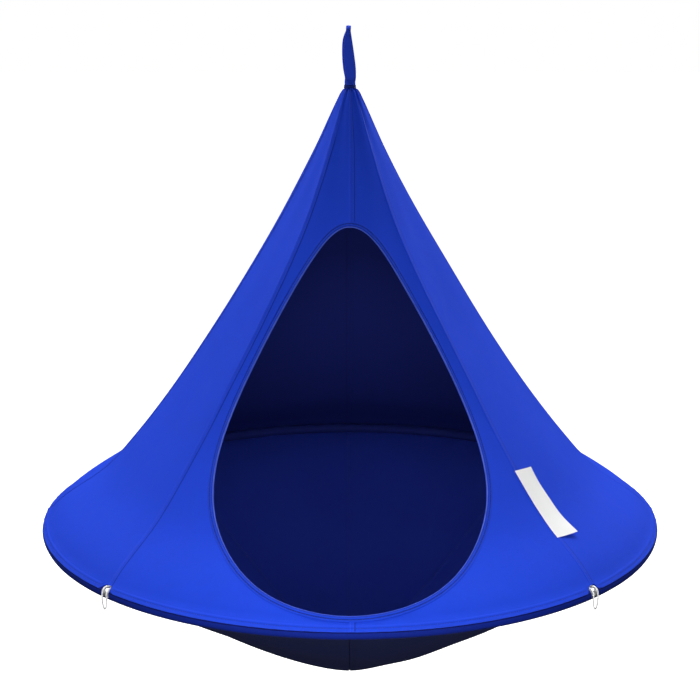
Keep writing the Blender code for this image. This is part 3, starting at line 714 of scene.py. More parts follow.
def worn_edges(s, past, k, arc):
    """Lighter along folded edges, partly wear and partly painted highlight; painted shade beside the lapped
    seam and in the rim row of stitching.
    """
    scaled, first = past / k, s / k
    # lap fold, seam fold and rim hem edge: partly wear, partly painted highlight
    light = (0.6 * ridge(scaled - 8.3 * MM, 0.8 * MM) + 0.30 * ridge(scaled, 1.6 * MM)
             + 1.0 * ridge(arc + 2.8 * MM, 1.2 * MM))
    # painted shade beside the lap's edge on the next gore and in the rim stitch row
    dark = 0.70 * ridge(first - 9.8 * MM, 1.1 * MM) + 0.30 * ridge(arc - RIM_STITCH, 1.0 * MM)
    return np.clip(light - dark, -1, 1)


def trim_gore(gore, p, arc):
    """Which cells of a door gore are kept; the points on the border move to the trim line."""
    x, _, z = np.moveaxis(taut_point(p, arc_height(arc)), -1, 0)
    keep = ~inside_trim(*((v[:-1, :-1] + v[1:, :-1] + v[:-1, 1:] + v[1:, 1:]) / 4 for v in (x, z)))
    touch = np.zeros((2, *x.shape), bool)
    for a in (slice(None, -1), slice(1, None)):
        for b in (slice(None, -1), slice(1, None)):
            touch[:, a, b] |= keep, ~keep
    border = touch.all(0)
    near_x, near_z = to_trim(x[border], z[border])
    h = np.clip(near_z - RIM_Z, TANGENT_HEIGHT, NECK_HEIGHT)
    p[border] = on_front(near_x, h) + (GORES if gore == GORES - 1 else 0)
    arc[border] = arc_at(h)
    return keep


def make_gore(gore):
    p, arc, s, past, k = gore_grid(gore)
    keep = trim_gore(gore, p, arc) if gore in DOOR_GORES else None
    outer, inner = lap_levels(arc, past, k)
    uv = np.stack([s - s.max(1, keepdims=True) / 2, arc], -1)
    ob = slab(f"cone_cloth_{gore + 1}", cloth_point(p, arc, outer), cloth_point(p, arc, inner),
              [LOOK_OUT, LOOK_IN_SHADED], keep, uv, worn_edges(s, past, k, arc))
    return fit(ob, f"cone_gore_{gore + 1}")


GORE_LENGTH = float(ARC[-1])
GORE_FOOT = float(gore_width(0, np.array(TANGENT_HEIGHT)))
GORE_WIDTHS = gore_width(0, ARC_H)
GORE_AREA = float((np.diff(ARC) * (GORE_WIDTHS[1:] + GORE_WIDTHS[:-1]) / 2).sum())
DOOR_X, _, DOOR_Z = DOOR_POINT.T
DOOR_LEAN = 0.65              # of the cloth round the door, from upright, in radians
DOOR_UPRIGHT = (DOOR_X * np.roll(DOOR_Z, -1) - np.roll(DOOR_X, -1) * DOOR_Z).sum() / 2
DOOR_AREA = abs(float(DOOR_UPRIGHT)) / math.cos(DOOR_LEAN)

gore_pieces = [make_gore(g) for g in range(GORES)]


# ---------------- sewing of the cone
def seam_run(gore, offset):
    """Line of a stitch row that runs beside the seam closing this gore."""
    arcs = np.arange(0.006, ARC_TOP - 0.004, 0.004)
    if gore % 2 == 0:
        arcs = notched(arcs, offset * seam_scale(gore, arc_height(arcs)))
    h = arc_height(arcs)
    k = seam_scale(gore, h)
    p = gore + 1 + offset * k / gore_width(gore + 1, h)
    clear = np.ones(len(h), bool)
    if gore == GORES - 1:
        x, _, z = taut_point(p, h).T
        clear = ~inside_trim(x, z)
    outer, _ = lap_levels(arcs, offset * k, k)
    return cloth_point(p, arcs, outer + 0.124 * MM), cone_normal(p, h), clear


def split_runs(points, normals, clear):
    """The stretches of a line that are clear, where they have more than three points."""
    change = np.flatnonzero(np.diff([False, *clear, False]))
    return [(points[a:b], normals[a:b]) for a, b in zip(change[::2], change[1::2]) if b - a > 3]


cone_runs = [run for gore in range(GORES) for row in STITCH_AT
             for run in split_runs(*seam_run(gore, row))]
cone_sewing = sew("cone_seam_stitches", cone_runs)

rim_runs = []
for corner in CORNERS:
    ps = np.linspace(corner + 0.03, corner + 1.97, 420)
    nearest = np.minimum(ps - corner, corner + 2 - ps) * GORE_FOOT
    arcs = RIM_STITCH + tie_notch(nearest) * 0.9
    outer, _ = lap_levels(arcs, np.full_like(ps, -0.05), np.ones_like(ps))
    rim_runs.append((cloth_point(ps, arcs, outer), cone_normal(ps, arc_height(arcs))))
rim_sewing = sew("rim_hem_stitches", rim_runs)


# ---------------- door hem
def make_hem():
    """A binding folded over the door's edge: rounded nose, two rows of stitching, fine puckers."""
    nose = [(0.9, 1.5), (0.45, 1.32), (0.12, 0.9), (0.0, 0.2), (-0.05, -1.0), (0.0, -2.2), (0.12, -2.9),
            (0.45, -3.35), (0.9, -3.5)]
    back = [(2.4, -3.5), (5.0, -3.4), (8.0, -3.4), (11.0, -3.45), (12.8, -3.45), (13.5, -3.3),
            (13.95, -2.9), (14.0, -2.1)]
    front = [(14.0, 0.1), (13.9, 0.55), (13.4, 0.9), (12.4, 1.1), (10.8, 1.3), (9.8, 1.3), (9.2, 1.0),
             (8.6, 0.66), (8.0, 1.0), (7.4, 1.4), (6.2, 1.62), (4.6, 1.6), (3.8, 1.42), (3.3, 1.08),
             (2.8, 0.76), (2.3, 1.08), (1.8, 1.42)]
    section = np.array(nose + back + front) * MM
    length = np.arange(DOOR_STEPS) / DOOR_STEPS * DOOR_ROUND
    pucker = 0.16 * MM * np.sin(TAU * length / 0.0115 + 1.5 * np.sin(TAU * length / 0.09))
    pucker = pucker + 0.10 * MM * np.sin(TAU * length / 0.031)
    # the binding's two ends meet at the foot of the door
    gap = np.minimum(length, DOOR_ROUND - length)
    join = ridge(gap, 1.1 * MM) * 0.55 * MM - 0.35 * MM * ridge(gap - 6 * MM, 3.0 * MM)
    rings = []
    for a, level in section:
        lift = level + (level > 0.3 * MM) * (pucker * ridge(a - 7 * MM, 6 * MM) - join)
        rings.append(DOOR_POINT + DOOR_AWAY * a + DOOR_NORMAL * lift[..., None])
    uv = np.stack(np.meshgrid(run_of(section), length), -1)
    a, level = section.T
    # lighter along the folded nose, partly wear and partly painted highlight; painted shade in the two rows
    # of stitching on the front face
    painted_groove_shade = ridge(a - HEM_STITCHES[1], 0.9 * MM) + 0.8 * ridge(a - HEM_STITCHES[0], 0.6 * MM)
    worn = ridge(a - 0.3 * MM, 1.1 * MM) * (level > -2.5 * MM) - 0.95 * (level > 0.3 * MM) * painted_groove_shade
    ob = tube("door_hem_binding", np.stack(rings, 1), [LOOK_HEM], closed=True, uv=uv, sharp=55.0,
              worn=np.tile(np.clip(worn, -1, 1), DOOR_STEPS))
    return fit(ob, "door_hem")


hem = make_hem()
hem_runs = []
for a, level in zip(HEM_STITCHES, (0.80 * MM, 0.70 * MM)):
    for face, height in ((1, level), (-1, 3.55 * MM)):
        line = DOOR_POINT + DOOR_AWAY * a + DOOR_NORMAL * (face * height)
        hem_runs.append((repeated(line), repeated(face * DOOR_NORMAL)))
hem_sewing = sew("door_hem_stitches", hem_runs, LOOK_THREAD_DARK)


# ---------------- tapes inside the cone's seams
def make_tape(seam):
    low = DOOR_TOP + HEM_WIDTH + 0.004 if seam == 0 else 0.0386
    arcs = np.arange(arc_at(low), arc_at(0.942), 0.008)
    across = np.array([-1.0, -0.93, -0.5, -0.12, 0.0, 0.12, 0.5, 0.93, 1.0]) * TAPE_WIDTH / 2
    arc, across = np.meshgrid(arcs, across, indexing="ij")
    h = arc_height(arc)
    shrink = np.minimum(1.0, gore_width(seam, h) / 0.040)
    p = (seam + across * shrink / gore_width(seam, h)) % GORES
    ripple = 0.15 * MM * np.sin(TAU * arc / 0.017 + seam)
    edge = 0.25 * MM * (np.abs(across) > 0.95 * TAPE_WIDTH / 2)
    outer = cloth_point(p, arc, np.full(arc.shape, -CLOTH - 0.3 * MM))
    inner = cloth_point(p, arc, -CLOTH - 1.3 * MM + edge + ripple)
    ob = slab(f"seam_tape_cloth_{seam + 1}", outer, inner, [LOOK_TAPE, LOOK_TAPE], None,
              np.stack([across, arc], -1))
    return fit(ob, f"seam_tape_{seam + 1}")


tape_pieces = [make_tape(seam) for seam in range(GORES)]


# ---------------- rim sleeve, tube and spigots
def bar_rings(starts, ends, count, sides, radius):
    """Rings of a round bar along the rim; radius is a number or a function of length and turn."""
    a, t = np.meshgrid(np.linspace(starts, ends, count), TAU * np.arange(sides) / sides, indexing="ij")
    length = (a - starts) * RING_RADIUS
    r = radius(length, t, (ends - starts) * RING_RADIUS) if callable(radius) else radius + 0 * a
    return on_tunnel(a, t, r), np.stack([length, t * SLEEVE_RADIUS], -1)


def pipe(name, starts, ends, count, n, outer, inner, looks, worn=None):
    """A hollow bar along the rim with closed ends; a second look, where given, goes on its inward half,
    which on the sleeve is painted shade.
    """
    a, uv = bar_rings(starts, ends, count, n, outer)
    b, _ = bar_rings(starts, ends, count, n, inner)
    index = np.arange(count * n).reshape(count, n)
    after, deeper = np.roll(index, -1, 1), count * n
    skin = np.stack([index[:-1], index[1:], after[1:], after[:-1]], -1).reshape(-1, 4)
    first = np.stack([index[0], after[0], after[0] + deeper, index[0] + deeper], -1)
    last = np.stack([index[-1], index[-1] + deeper, after[-1] + deeper, after[-1]], -1)
    faces = np.concatenate([skin, skin[:, ::-1] + deeper, first, last])
    turn = TAU * (np.arange(n) + 0.5) / n
    look = np.zeros(len(faces))
    if len(looks) > 1:
        # the inward half takes the second look, which on the sleeve is painted shade
        look[:len(skin)] = np.tile((turn > math.pi / 2) & (turn < math.pi * 1.45), count - 1)
    worn = np.zeros(2 * deeper) if worn is None else np.tile(worn, 2 * count)
    return build(name, np.concatenate([a.reshape(-1, 3), b.reshape(-1, 3)]), faces, looks, look,
                 np.concatenate([uv.reshape(-1, 2)] * 2), 50.0, worn=worn)


def sleeve_skin(length, turn, whole):
    """The cloth tunnel: puckers along its seams, folds near its open ends, a hem at each end."""
    end = np.minimum(length, whole - length)
    top, low = ridge(wrapped(turn - RIM_SLOPE), 0.55), ridge(wrapped(turn + SEAT_SLOPE), 0.60)
    d = 0.22 * MM * top * np.sin(TAU * length / 0.0125 + 1.8 * np.sin(TAU * length / 0.11))
    d = d + 0.28 * MM * low * np.sin(TAU * length / 0.0165 + 1.4 * np.sin(TAU * length / 0.13) + 2.0)
    d = d + 0.16 * MM * np.sin(2 * turn + TAU * length / 0.21)
    d = d + 0.30 * MM * np.exp(-end / 0.03) * np.sin(5 * turn + TAU * length / 0.07)
    d = d + 0.45 * MM * (1 - ease((end - 0.007) / 0.002)) - 0.35 * MM * (1 - ease(end / 0.0012))
    return SLEEVE_RADIUS - 0.45 * MM + d


sleeve_pieces = []
# painted shade in a groove round the tunnel, just under the edge of the cone cloth's lap
SLEEVE_GROOVE_SHADE = -0.95 * ridge(TAU * np.arange(40) / 40 - math.radians(27), 0.10)
for i, corner in enumerate(CORNERS, start=1):
    start, end = TAU / GORES * corner, TAU / GORES * (corner + 2)
    half, join, reach = (v / RING_RADIUS for v in (OPENING_HALF, 0.15 * MM, SPIGOT_HALF))
    bore = TUBE_RADIUS - TUBE_WALL
    inner = bore - 0.3 * MM
    # both looks of the sleeve are darker copies of the blue cloth, painted shade, and the last field adds
    # painted shade in a groove
    sleeve_pieces.append(pipe(
        f"rim_sleeve_cloth_{i}", start + half, end - half, 620, 40, sleeve_skin,
        SLEEVE_RADIUS - SLEEVE_WALL - 0.1 * MM, [LOOK_TUNNEL_SHADED, LOOK_IN_SHADED], SLEEVE_GROOVE_SHADE))
    metal = pipe(f"ring_tube_bar_{i}", start + join, end - join, 160, 28, TUBE_RADIUS, bore,
                 [LOOK_TUBE])
    spigot = pipe(f"ring_spigot_bar_{i}", start - reach, start + reach, 24, 24, inner, inner - 2.0 * MM,
                  [LOOK_TUBE])
    fit(sleeve_pieces[-1], f"rim_sleeve_{i}")
    fit(metal, f"ring_tube_{i}")
    fit(spigot, f"ring_spigot_{i}")


# ---------------- seat
SEAT_RIM = RING_RADIUS + SLEEVE_RADIUS * math.cos(SEAT_SLOPE)
SEAT_RIM_DROP = SLEEVE_RADIUS * math.sin(SEAT_SLOPE)
SEAT_HOLE = 0.012


def seat_height(radius):
    bowl = (1 - np.minimum(radius / SEAT_RIM, 1.0) ** SEAT_POWER) ** SEAT_FULLNESS
    return RIM_Z - SEAT_RIM_DROP - (SEAT_DEPTH - SEAT_RIM_DROP) * bowl


SEAT_R = SEAT_RIM - (SEAT_RIM - 0.002) * np.linspace(0, 1, 4000) ** 1.5
SEAT_ARC = np.concatenate([[0.0], np.cumsum(np.hypot(np.diff(SEAT_R), np.diff(seat_height(SEAT_R))))])
SEAT_GORE = TAU / GORES       # angle of a seat gore
SEAT_WAVES = [(int(rng.integers(2, 9)), rng.uniform(1.0, 4.0), rng.uniform(0, TAU),
               rng.uniform(0.4, 1.1) * MM) for _ in range(9)]


def seat_radius(arc):
    return np.interp(arc, SEAT_ARC, SEAT_R)


def seat_arc(radius):
    return np.interp(radius, SEAT_R[::-1], SEAT_ARC[::-1])


def seat_relief(azimuth, radius):
    """Wrinkles of the seat cloth: drawn from the rim, loose hollows in the middle."""
    share = radius / SEAT_RIM
    d = 0.9 * MM * np.sin(44 * azimuth + 2.2 * np.sin(5 * azimuth))
    d = d * ease((share - 0.72) / 0.25) * (1 - ease((share - 0.965) / 0.03))
    calm = ease(share / 0.25) * (1 - ease((share - 0.85) / 0.12))
    for turns, cycles, phase, size in SEAT_WAVES:
        d = d + calm * size * np.sin(turns * azimuth + TAU * cycles * share + phase)
    for centre, lean, depth in ((0.5, 0.8, 1.3), (-0.35, -0.5, 1.0), (2.6, 0.4, 1.2), (-2.5, -0.6, 1.1),
                                (1.4, 0.5, 1.0), (-1.2, 0.7, 0.9)):
        off = wrapped(azimuth - centre - lean * (share - 0.6))
        fades = ease((share - 0.3) / 0.2) * (1 - ease((share - 0.78) / 0.12))
        d = d + depth * MM * ridge(off * radius, 9 * MM) * fades
    return d


def seat_point(azimuth, arc, level):
    """Point at a level over the lower face of the seat; before the seam the cloth laps the tunnel."""
    radius = seat_radius(arc)
    a, b = np.maximum(radius - MM, MM), np.minimum(radius + MM, SEAT_RIM)
    slope = (seat_height(b) - seat_height(a)) / (b - a)
    steep = np.hypot(1, slope)
    lift = level + seat_relief(azimuth, radius)
    point = outward(azimuth) * (radius - slope / steep * lift)[..., None]
    point[..., 2] = seat_height(radius) + lift / steep
    turn = -SEAT_SLOPE - np.minimum(arc, 0.0) / SLEEVE_RADIUS
    return np.where((arc < 0)[..., None], on_tunnel(azimuth, turn, SLEEVE_RADIUS - lift), point)


SEAT_ROWS = np.concatenate([
    np.array([-5.0, -4.9, -4.4, -3.0, -1.5, 0.0, 1.5, 3.0, 4.2, 5.0, 6.2, 8.0, 10.0, 12.0, 15.0, 19.0,
              24.0, 30.0]) * MM,
    np.linspace(0.038, float(seat_arc(SEAT_HOLE)), 84)])
SEAT_END = np.array([-9.0, -5.5, -3.6, -2.8, -2.0, -1.0, -0.3, 0.5, 1.1, 1.7, 2.3, 3.4, 4.6, 5.6, 6.2, 6.8,
                     7.4, 7.9, 8.2]) * MM
SEAT_STITCH = (1.7 * MM, 6.2 * MM)


def seat_scale(radius):
    """The lapped seams narrow where the gores do, towards the centre."""
    return np.minimum(1.0, radius * SEAT_GORE / 0.060)


def seat_levels(arc, past, k):
    """Lower and upper level: seams lap on the inside, the rim edge is doubled on the outside."""
    scaled = past / k
    over = ease((scaled + 3.0 * MM) / (2.8 * MM))
    upper = CLOTH + 0.9 * MM * over
    for row in SEAT_STITCH:
        upper = upper - 0.3 * MM * ridge(scaled - row, 0.6 * MM) * (scaled > 0)
    upper = upper - 0.4 * MM * ease((scaled - 7.4 * MM) / (0.8 * MM))
    lower = mix(0.0, CLOTH + 0.12 * MM, over)
    hem = 1 - ease((arc - 9.0 * MM) / (2.5 * MM))
    lower = lower - 0.8 * MM * hem + 0.3 * MM * ridge(arc - RIM_STITCH, 0.8 * MM)
    lower = lower + 0.4 * MM * (1 - ease((arc + 5.0 * MM) / (0.9 * MM)))
    upper = np.minimum(upper, np.maximum(arc, 0) ** 2 / (2 * SLEEVE_RADIUS) - 0.15 * MM)
    return np.minimum(lower, upper - 0.35 * MM), upper


def make_seat(gore):
    radius = seat_radius(SEAT_ROWS)[:, None]
    width, k = radius * SEAT_GORE, seat_scale(radius)
    start = k * np.array([0.15, 0.8, 2.0, 4.5, 9.0]) * MM
    middle = mix(start[:, -1:], width + k * SEAT_END[0], np.linspace(0, 1, 38)[1:-1])
    s = np.concatenate([start, middle, width + k * SEAT_END], 1)
    azimuth = SEAT_GORE * gore + s / radius
    arc = np.repeat(SEAT_ROWS[:, None], s.shape[1], 1)
    lower, upper = seat_levels(arc, s - width, k)
    uv = np.stack([s - width / 2, arc], -1)
    # half-strength wear, painted highlight and painted shade on the seat cloth
    worn = 0.5 * worn_edges(s, s - width, k, arc + 2 * MM)
    under, top = seat_point(azimuth, arc, lower), seat_point(azimuth, arc, upper)
    ob = slab(f"seat_cloth_{gore + 1}", under[::-1], top[::-1], [LOOK_SEAT_OUT_SHADED, LOOK_SEAT_IN], None,
              uv[::-1], worn[::-1])
    return fit(ob, f"seat_gore_{gore + 1}")


seat_pieces = [make_seat(g) for g in range(GORES)]

seat_runs = []
arcs = np.arange(0.006, SEAT_ROWS[-1] - 0.006, 0.005)
radius = seat_radius(arcs)
k = seat_scale(radius)
for gore in range(GORES):
    for row in SEAT_STITCH:
        azimuth = SEAT_GORE * (gore + 1) + row * k / radius
        _, upper = seat_levels(arcs, row * k, k)
        line = seat_point(azimuth, arcs, upper + 0.1 * MM)
        seat_runs.append((line, unit(seat_point(azimuth, arcs, upper + MM) - line)))
azimuth, arcs = np.linspace(0, TAU, 900), np.full(900, RIM_STITCH)
lower, _ = seat_levels(arcs, np.full(900, -0.05), np.ones(900))
line = seat_point(azimuth, arcs, lower)
seat_runs.append((line, unit(line - seat_point(azimuth, arcs, lower + MM))))
seat_sewing = sew("seat_stitches", seat_runs, LOOK_THREAD_DARK)


def make_patch():
    """Round reinforcement sewn over the seat's centre."""
    radii = np.array([0.4, 4, 8, 12, 17, 22, 27, 32, 37, 42, 47, 51, 54.5, 55.5, 56.5, 58, 59.2, 59.8,
                      60]) * MM
    r, a = np.meshgrid(radii, np.linspace(0, TAU, 97), indexing="ij")
    seam = sum(ridge(wrapped(a - SEAT_GORE * k) * r - 4 * MM, 5 * MM) for k in range(GORES))
    level = CLOTH + 1.0 * MM + 0.55 * MM * np.minimum(seam * ease(r / (20 * MM)), 1.0)
    top = (level + 1.3 * MM - 0.5 * MM * ease((r - 59.0 * MM) / (1.0 * MM))
           - 0.25 * MM * ridge(r - PATCH_STITCH, 0.8 * MM))
    uv = np.stack([r * np.cos(a), r * np.sin(a)], -1)
    low, high = seat_point(a, seat_arc(r), level), seat_point(a, seat_arc(r), top)
    low, high, uv = (v[:, :-1] for v in (low, high, uv))
    ob = tube("base_patch_cloth", np.concatenate([low[::-1], high]), [LOOK_SEAT_IN], False,
              np.concatenate([uv[::-1], uv]), 50.0)
    return fit(ob, "base_patch")


patch = make_patch()
line = seat_point(np.linspace(0, TAU, 240), np.full(240, float(seat_arc(PATCH_STITCH))),
                  np.full(240, CLOTH + 2.35 * MM))
patch_sewing = sew("base_patch_stitches", [(line, np.tile([0.0, 0.0, 1.0], (240, 1)))],
                   LOOK_THREAD_DARK, pitch=4 * MM, length=2.8 * MM)


# ---------------- rim ties
def tie_path():
    """A tie's line beside its ring joint: along the rim, out from the tube's centre, up."""
    reach = (TUBE_RADIUS + 0.3 * MM + CORD_RADIUS) / MM
    side = -TIE_SIDE / MM
    round_tube = [(-2.2, 186), (-5.6, 172), (side, 150), (side, 120), (side, 90), (side, 60), (side, 30),
                  (side, 5)]
    half = [(along, reach * math.cos(math.radians(a)), reach * math.sin(math.radians(a)))
            for along, a in round_tube]
    half += [(-7.7, 13.3, -6.0), (-7.9, 13.1, -13.0), (-7.3, 12.9, -20.5), (-5.6, 12.8, -27.5),
             (-3.2, 12.7, -32.2)]
    return np.array(half + [(0.0, 12.7, -TIE_DROP / MM)] + [(-s, r, u) for s, r, u in half[::-1]]) * MM


TIE_LEAN = (0.6, -0.8, 0.5, -0.5)
CORD_STEPS, CORD_SIDES = 340, 20
for i, corner in enumerate(CORNERS, start=1):
    out = outward(np.array(TAU / GORES * corner))
    local = tie_path()
    local[:, 0] += TIE_LEAN[i - 1] * MM * ease(-local[:, 2] / 0.03)
    path = (out * (RING_RADIUS + local[:, 1:2]) + np.array([-out[1], out[0], 0.0]) * local[:, 0:1]
            + np.array([0, 0, 1.0]) * (RIM_Z + local[:, 2:3]))
    path = smooth_line(path, CORD_STEPS)
    length = float(run_of(path)[-1])
    ahead = unit(np.gradient(path, axis=0))
    side = unit(np.cross(ahead, out))
    up = np.cross(side, ahead)
    turn = TAU * np.arange(CORD_SIDES) / CORD_SIDES
    far = np.linspace(0, length, CORD_STEPS)[:, None]
    weave = np.maximum(np.sin(4 * turn + far * TAU / 0.0042), np.sin(4 * turn - far * TAU / 0.0042))
    middle = (CORD_STEPS - 1) / 2
    near_end = ((np.abs(np.arange(CORD_STEPS) - middle) - middle + 2.0) / 2.0).clip(0, 1)
    radius = CORD_RADIUS * (0.94 + 0.11 * weave) * np.sqrt(np.clip(1 - near_end**2, 0.05, 1))[:, None]
    rings = (path[:, None] + side[:, None] * (radius * np.cos(turn))[..., None]
             + up[:, None] * (radius * np.sin(turn))[..., None])
    cord = tube(f"tie_cord_{i}", rings, [LOOK_CORD], sharp=80.0,
                valley=np.clip(-weave, 0, 1).reshape(-1))
    fit(cord, f"rim_tie_{i}")


# ---------------- label, blank
def make_label():
    """A satin label caught in the seam by one long edge; its free corners stand off a little."""
    heights = LABEL_TOP - LABEL_LENGTH * np.linspace(0, 1, 45)[::-1]
    across = np.concatenate([[-0.004, -0.002, 0.0, 0.0012], np.linspace(0.003, LABEL_WIDTH - 0.0012, 26),
                             [LABEL_WIDTH - 0.0004, LABEL_WIDTH]]) + 0.002
    h, s = np.meshgrid(heights, across, indexing="ij")
    up = (h - heights[0]) / LABEL_LENGTH
    out = np.clip((s - 0.002) / LABEL_WIDTH, 0, 1)
    h = h - LABEL_SLANT * out
    arc = arc_at(h)
    p = 1 + s / gore_width(1, h)
    lift = LABEL_LIFT * (1 - up) ** 4 * out**1.6 + 2.2 * MM * up**7 * out**2
    lift = lift + 0.5 * MM * out * np.sin(TAU * up * 2.1 + 0.8) + 0.35 * MM * out
    fold = 0.25 * MM * (1 - ease((s - 0.006) / 0.002))
    edge = 0.18 * MM * ease((out - 0.97) / 0.03)
    level = 1.15 * MM + lift
    ob = slab("blank_label_satin", cloth_point(p, arc, level + 0.55 * MM - fold - edge),
              cloth_point(p, arc, level), [LOOK_LABEL, LOOK_LABEL], None, np.stack([s, arc], -1))
    return fit(ob, "blank_label")


label = make_label()


# ---------------- loop, neck and crown
COVER_HALF = 0.0021
BIGHT = EYE_RADIUS + COVER_HALF
LEG_MEET = COVER_HALF + 0.3 * MM


def strap_line(count):
    """Centre line of the strap from the front foot over the bight: x, y, z, half width, fold."""
    wide, tip, eye = STRAP_WIDTH / 2, STRAP_TIP_WIDTH / 2, LOOP_DROP - EYE_RADIUS
    leg = [(LEG_MEET, 0.0115, 0.93), (LEG_MEET, 0.0160, 0.97), (LEG_MEET, 0.024, 1.0),
           (mix(LEG_MEET, BIGHT, 0.35), 0.046, 0.97), (mix(LEG_MEET, BIGHT, 0.8), 0.075, 0.90),
           (BIGHT, eye - 0.022, 0.72)]
    front = [(-y, z, w * wide) for y, z, w in leg]
    top = [(-BIGHT * math.cos(t), eye + BIGHT * math.sin(t), tip * 0.96)
           for t in np.linspace(0, math.pi, 9)]
    rear = [(y, z, w * wide) for y, z, w in leg[::-1]]
    raw = []
    for k, (y, z, w) in enumerate(front + top + rear):
        lean = -3.6 * MM * ease((z - 0.02) / 0.11) + 1.2 * MM * math.sin(z * 48)
        if k >= len(front) + 5:         # the rear leg shows a little at the left of the front one
            lean -= 4.4 * MM * ease((z - 0.015) / 0.03) * (1 - ease((z - 0.095) / 0.03))
        raw.append((lean, y, PIVOT_Z + z, w, ease((z - 0.06) / 0.06)))
    return smooth_line(raw, count)


def strap_rings(line, half_thick, inset, sides=36):
    """A flat, soft-edged section swept along the strap, folded narrow towards the bight."""
    centre = line[:, :3]
    ahead = unit(np.gradient(centre, axis=0))
    across = np.tile([1.0, 0.0, 0.0], (len(line), 1))
    across = unit(across - ahead * (across * ahead).sum(-1, keepdims=True))
    normal = np.cross(ahead, across)
    turn = TAU * np.arange(sides) / sides
    w = (line[:, 3] - inset)[:, None]
    far = np.linspace(0, 1, len(line))[:, None] * 0.29
    c, s = np.cos(turn), np.sin(turn)
    x = w * np.sign(c) * np.abs(c) ** 0.42
    n = half_thick * np.sign(s) * np.abs(s) ** 0.55
    share, worn = np.abs(x) / w, np.zeros(x.shape)
    if inset == 0:
        crease = line[:, 4][:, None] * 0.42 * MM * (1 - share) ** 1.2
        wrinkle = 0.22 * MM * np.sin(TAU * far / 0.021 + 0.9 * x / MM)
        sewn = 0.22 * MM * ridge(share - (1 - STRAP_STITCH / w), 0.05) * np.sign(n)
        n = n - crease + wrinkle * ridge(share - 0.5, 0.5) - sewn
        worn = ridge(share - 1, 0.05)
    rings = centre[:, None] + across[:, None] * x[..., None] + normal[:, None] * n[..., None]
    uv = np.stack([np.cumsum(np.abs(np.gradient(x, axis=1)), 1), far + 0 * x], -1)
    return rings, uv, worn.reshape(-1), normal, across


def bend_at_neck(ob):
    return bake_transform(ob)


strap = strap_line(210)
for name, look, slot, half_thick, inset, sides in (
        ("cover", LOOK_LOOP, "loop_cloth", COVER_HALF, 0, 36),
        ("webbing", LOOK_WEBBING, "webbing", 1.0 * MM, 1.6 * MM, 24)):
    rings, uv, worn, strap_normal, strap_across = strap_rings(strap, half_thick, inset, sides)
    ob = tube(f"loop_strap_{name}", rings, [look], False, uv, 65.0, worn=worn)
    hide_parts(f"loop_{name}")
    bend_at_neck(ob)
strap_runs = []
for side in (-1, 1):
    for face in (-1, 1):
        row = (strap[:, :3] + strap_across * side * (strap[:, 3] - STRAP_STITCH)[:, None]
               + strap_normal * face * (COVER_HALF - 0.05 * MM))
        strap_runs.append((row, strap_normal * face))
bend_at_neck(stitches("loop_strap_stitches", strap_runs, LOOK_THREAD, pitch=3.6 * MM, length=2.5 * MM,
                      radius=0.22 * MM))


def make_neck():
    """The strap's foot gathered into the crown: flat at the top, round and pleated below."""
    levels = np.linspace(NECK_TOP, -6.0 * MM, 30)
    turn = TAU * np.arange(72) / 72
    c, s = np.cos(turn), np.sin(turn)
    rings = []
    for z in levels:
        t = float(ease((NECK_TOP - z) / 0.014))
        wide = mix(STRAP_WIDTH / 2 * 0.97, 0.0119, t)
        deep = mix(LEG_MEET + COVER_HALF + 0.5 * MM, 0.0117, t)
        power = mix(0.5, 1.0, t)
        pleat = 1 + 0.055 * t * np.sin(11 * turn + 2 * np.sin(2 * turn)) + 0.02 * t * np.sin(23 * turn)
        x = wide * np.sign(c) * np.abs(c) ** power * pleat
        y = deep * np.sign(s) * np.abs(s) ** power * pleat
        rings.append(np.stack([x, y, np.full(72, PIVOT_Z + z)], -1))
    uv = np.stack(np.meshgrid(turn * 0.012, levels[::-1]), -1)
    ob = tube("neck_gather", np.array(rings)[::-1], [LOOK_LOOP], False, uv, 60.0)
    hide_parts("loop_tail")
    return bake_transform(ob)


make_neck()


def make_crown():
    """Cloth binding that closes the cone's gathered top, wound and stitched."""
    section = np.array([(11.2, -4.6), (12.9, -4.9), (13.7, -4.3), (14.0, -3.2), (13.75, -2.2), (13.45, -1.4),
                        (13.65, -0.6), (13.9, 0.4), (13.8, 1.5), (13.3, 2.5), (12.6, 2.9), (11.0, 2.8),
                        (10.2, 2.0), (10.0, -1.0), (10.3, -4.0)]) * MM
    azimuth = TAU * np.arange(144) / 144
    rings = []
    for radius, z in section:
        fold = 1 + 0.022 * np.sin(16 * azimuth + 1.5 * np.sin(3 * azimuth)) * (radius > 0.0115)
        ring = outward(azimuth) * (radius * fold)[..., None]
        ring[..., 2] = PIVOT_Z + z + 0.25 * MM * np.sin(5 * azimuth)
        rings.append(ring)
    uv = np.stack(np.meshgrid(run_of(section), azimuth * 0.013), -1)
    ob = tube("crown_binding", np.stack(rings, 1), [LOOK_CROWN], closed=True, uv=uv, sharp=60.0)
    fit(ob, "crown_band", "crown")
    rows = []
    normals = outward(np.linspace(0, TAU, 200))
    for z, radius in ((-2.9, 14.3), (0.6, 14.0)):
        rows.append((normals * radius * MM + np.array([0, 0, PIVOT_Z + z * MM]), normals))
    sew("crown_stitches", rows, LOOK_THREAD_DARK, "crown", pitch=3.0 * MM, length=2.2 * MM)


make_crown()


# ---------------- what the cone cloths were cut to, worked out here but not passed on
def declare_sheets():
    for gore, ob in enumerate(gore_pieces):
        area, foot = GORE_AREA, GORE_FOOT
        if gore in DOOR_GORES:  # the door leaves a bent strip, which is cut from a narrower width
            area -= DOOR_AREA / 2
            foot = min(foot, area / (0.32 * GORE_LENGTH))
        extra = [tape_pieces[gore]]
        if gore == 0:
            extra += [hem, hem_sewing, cone_sewing, rim_sewing]


declare_sheets()


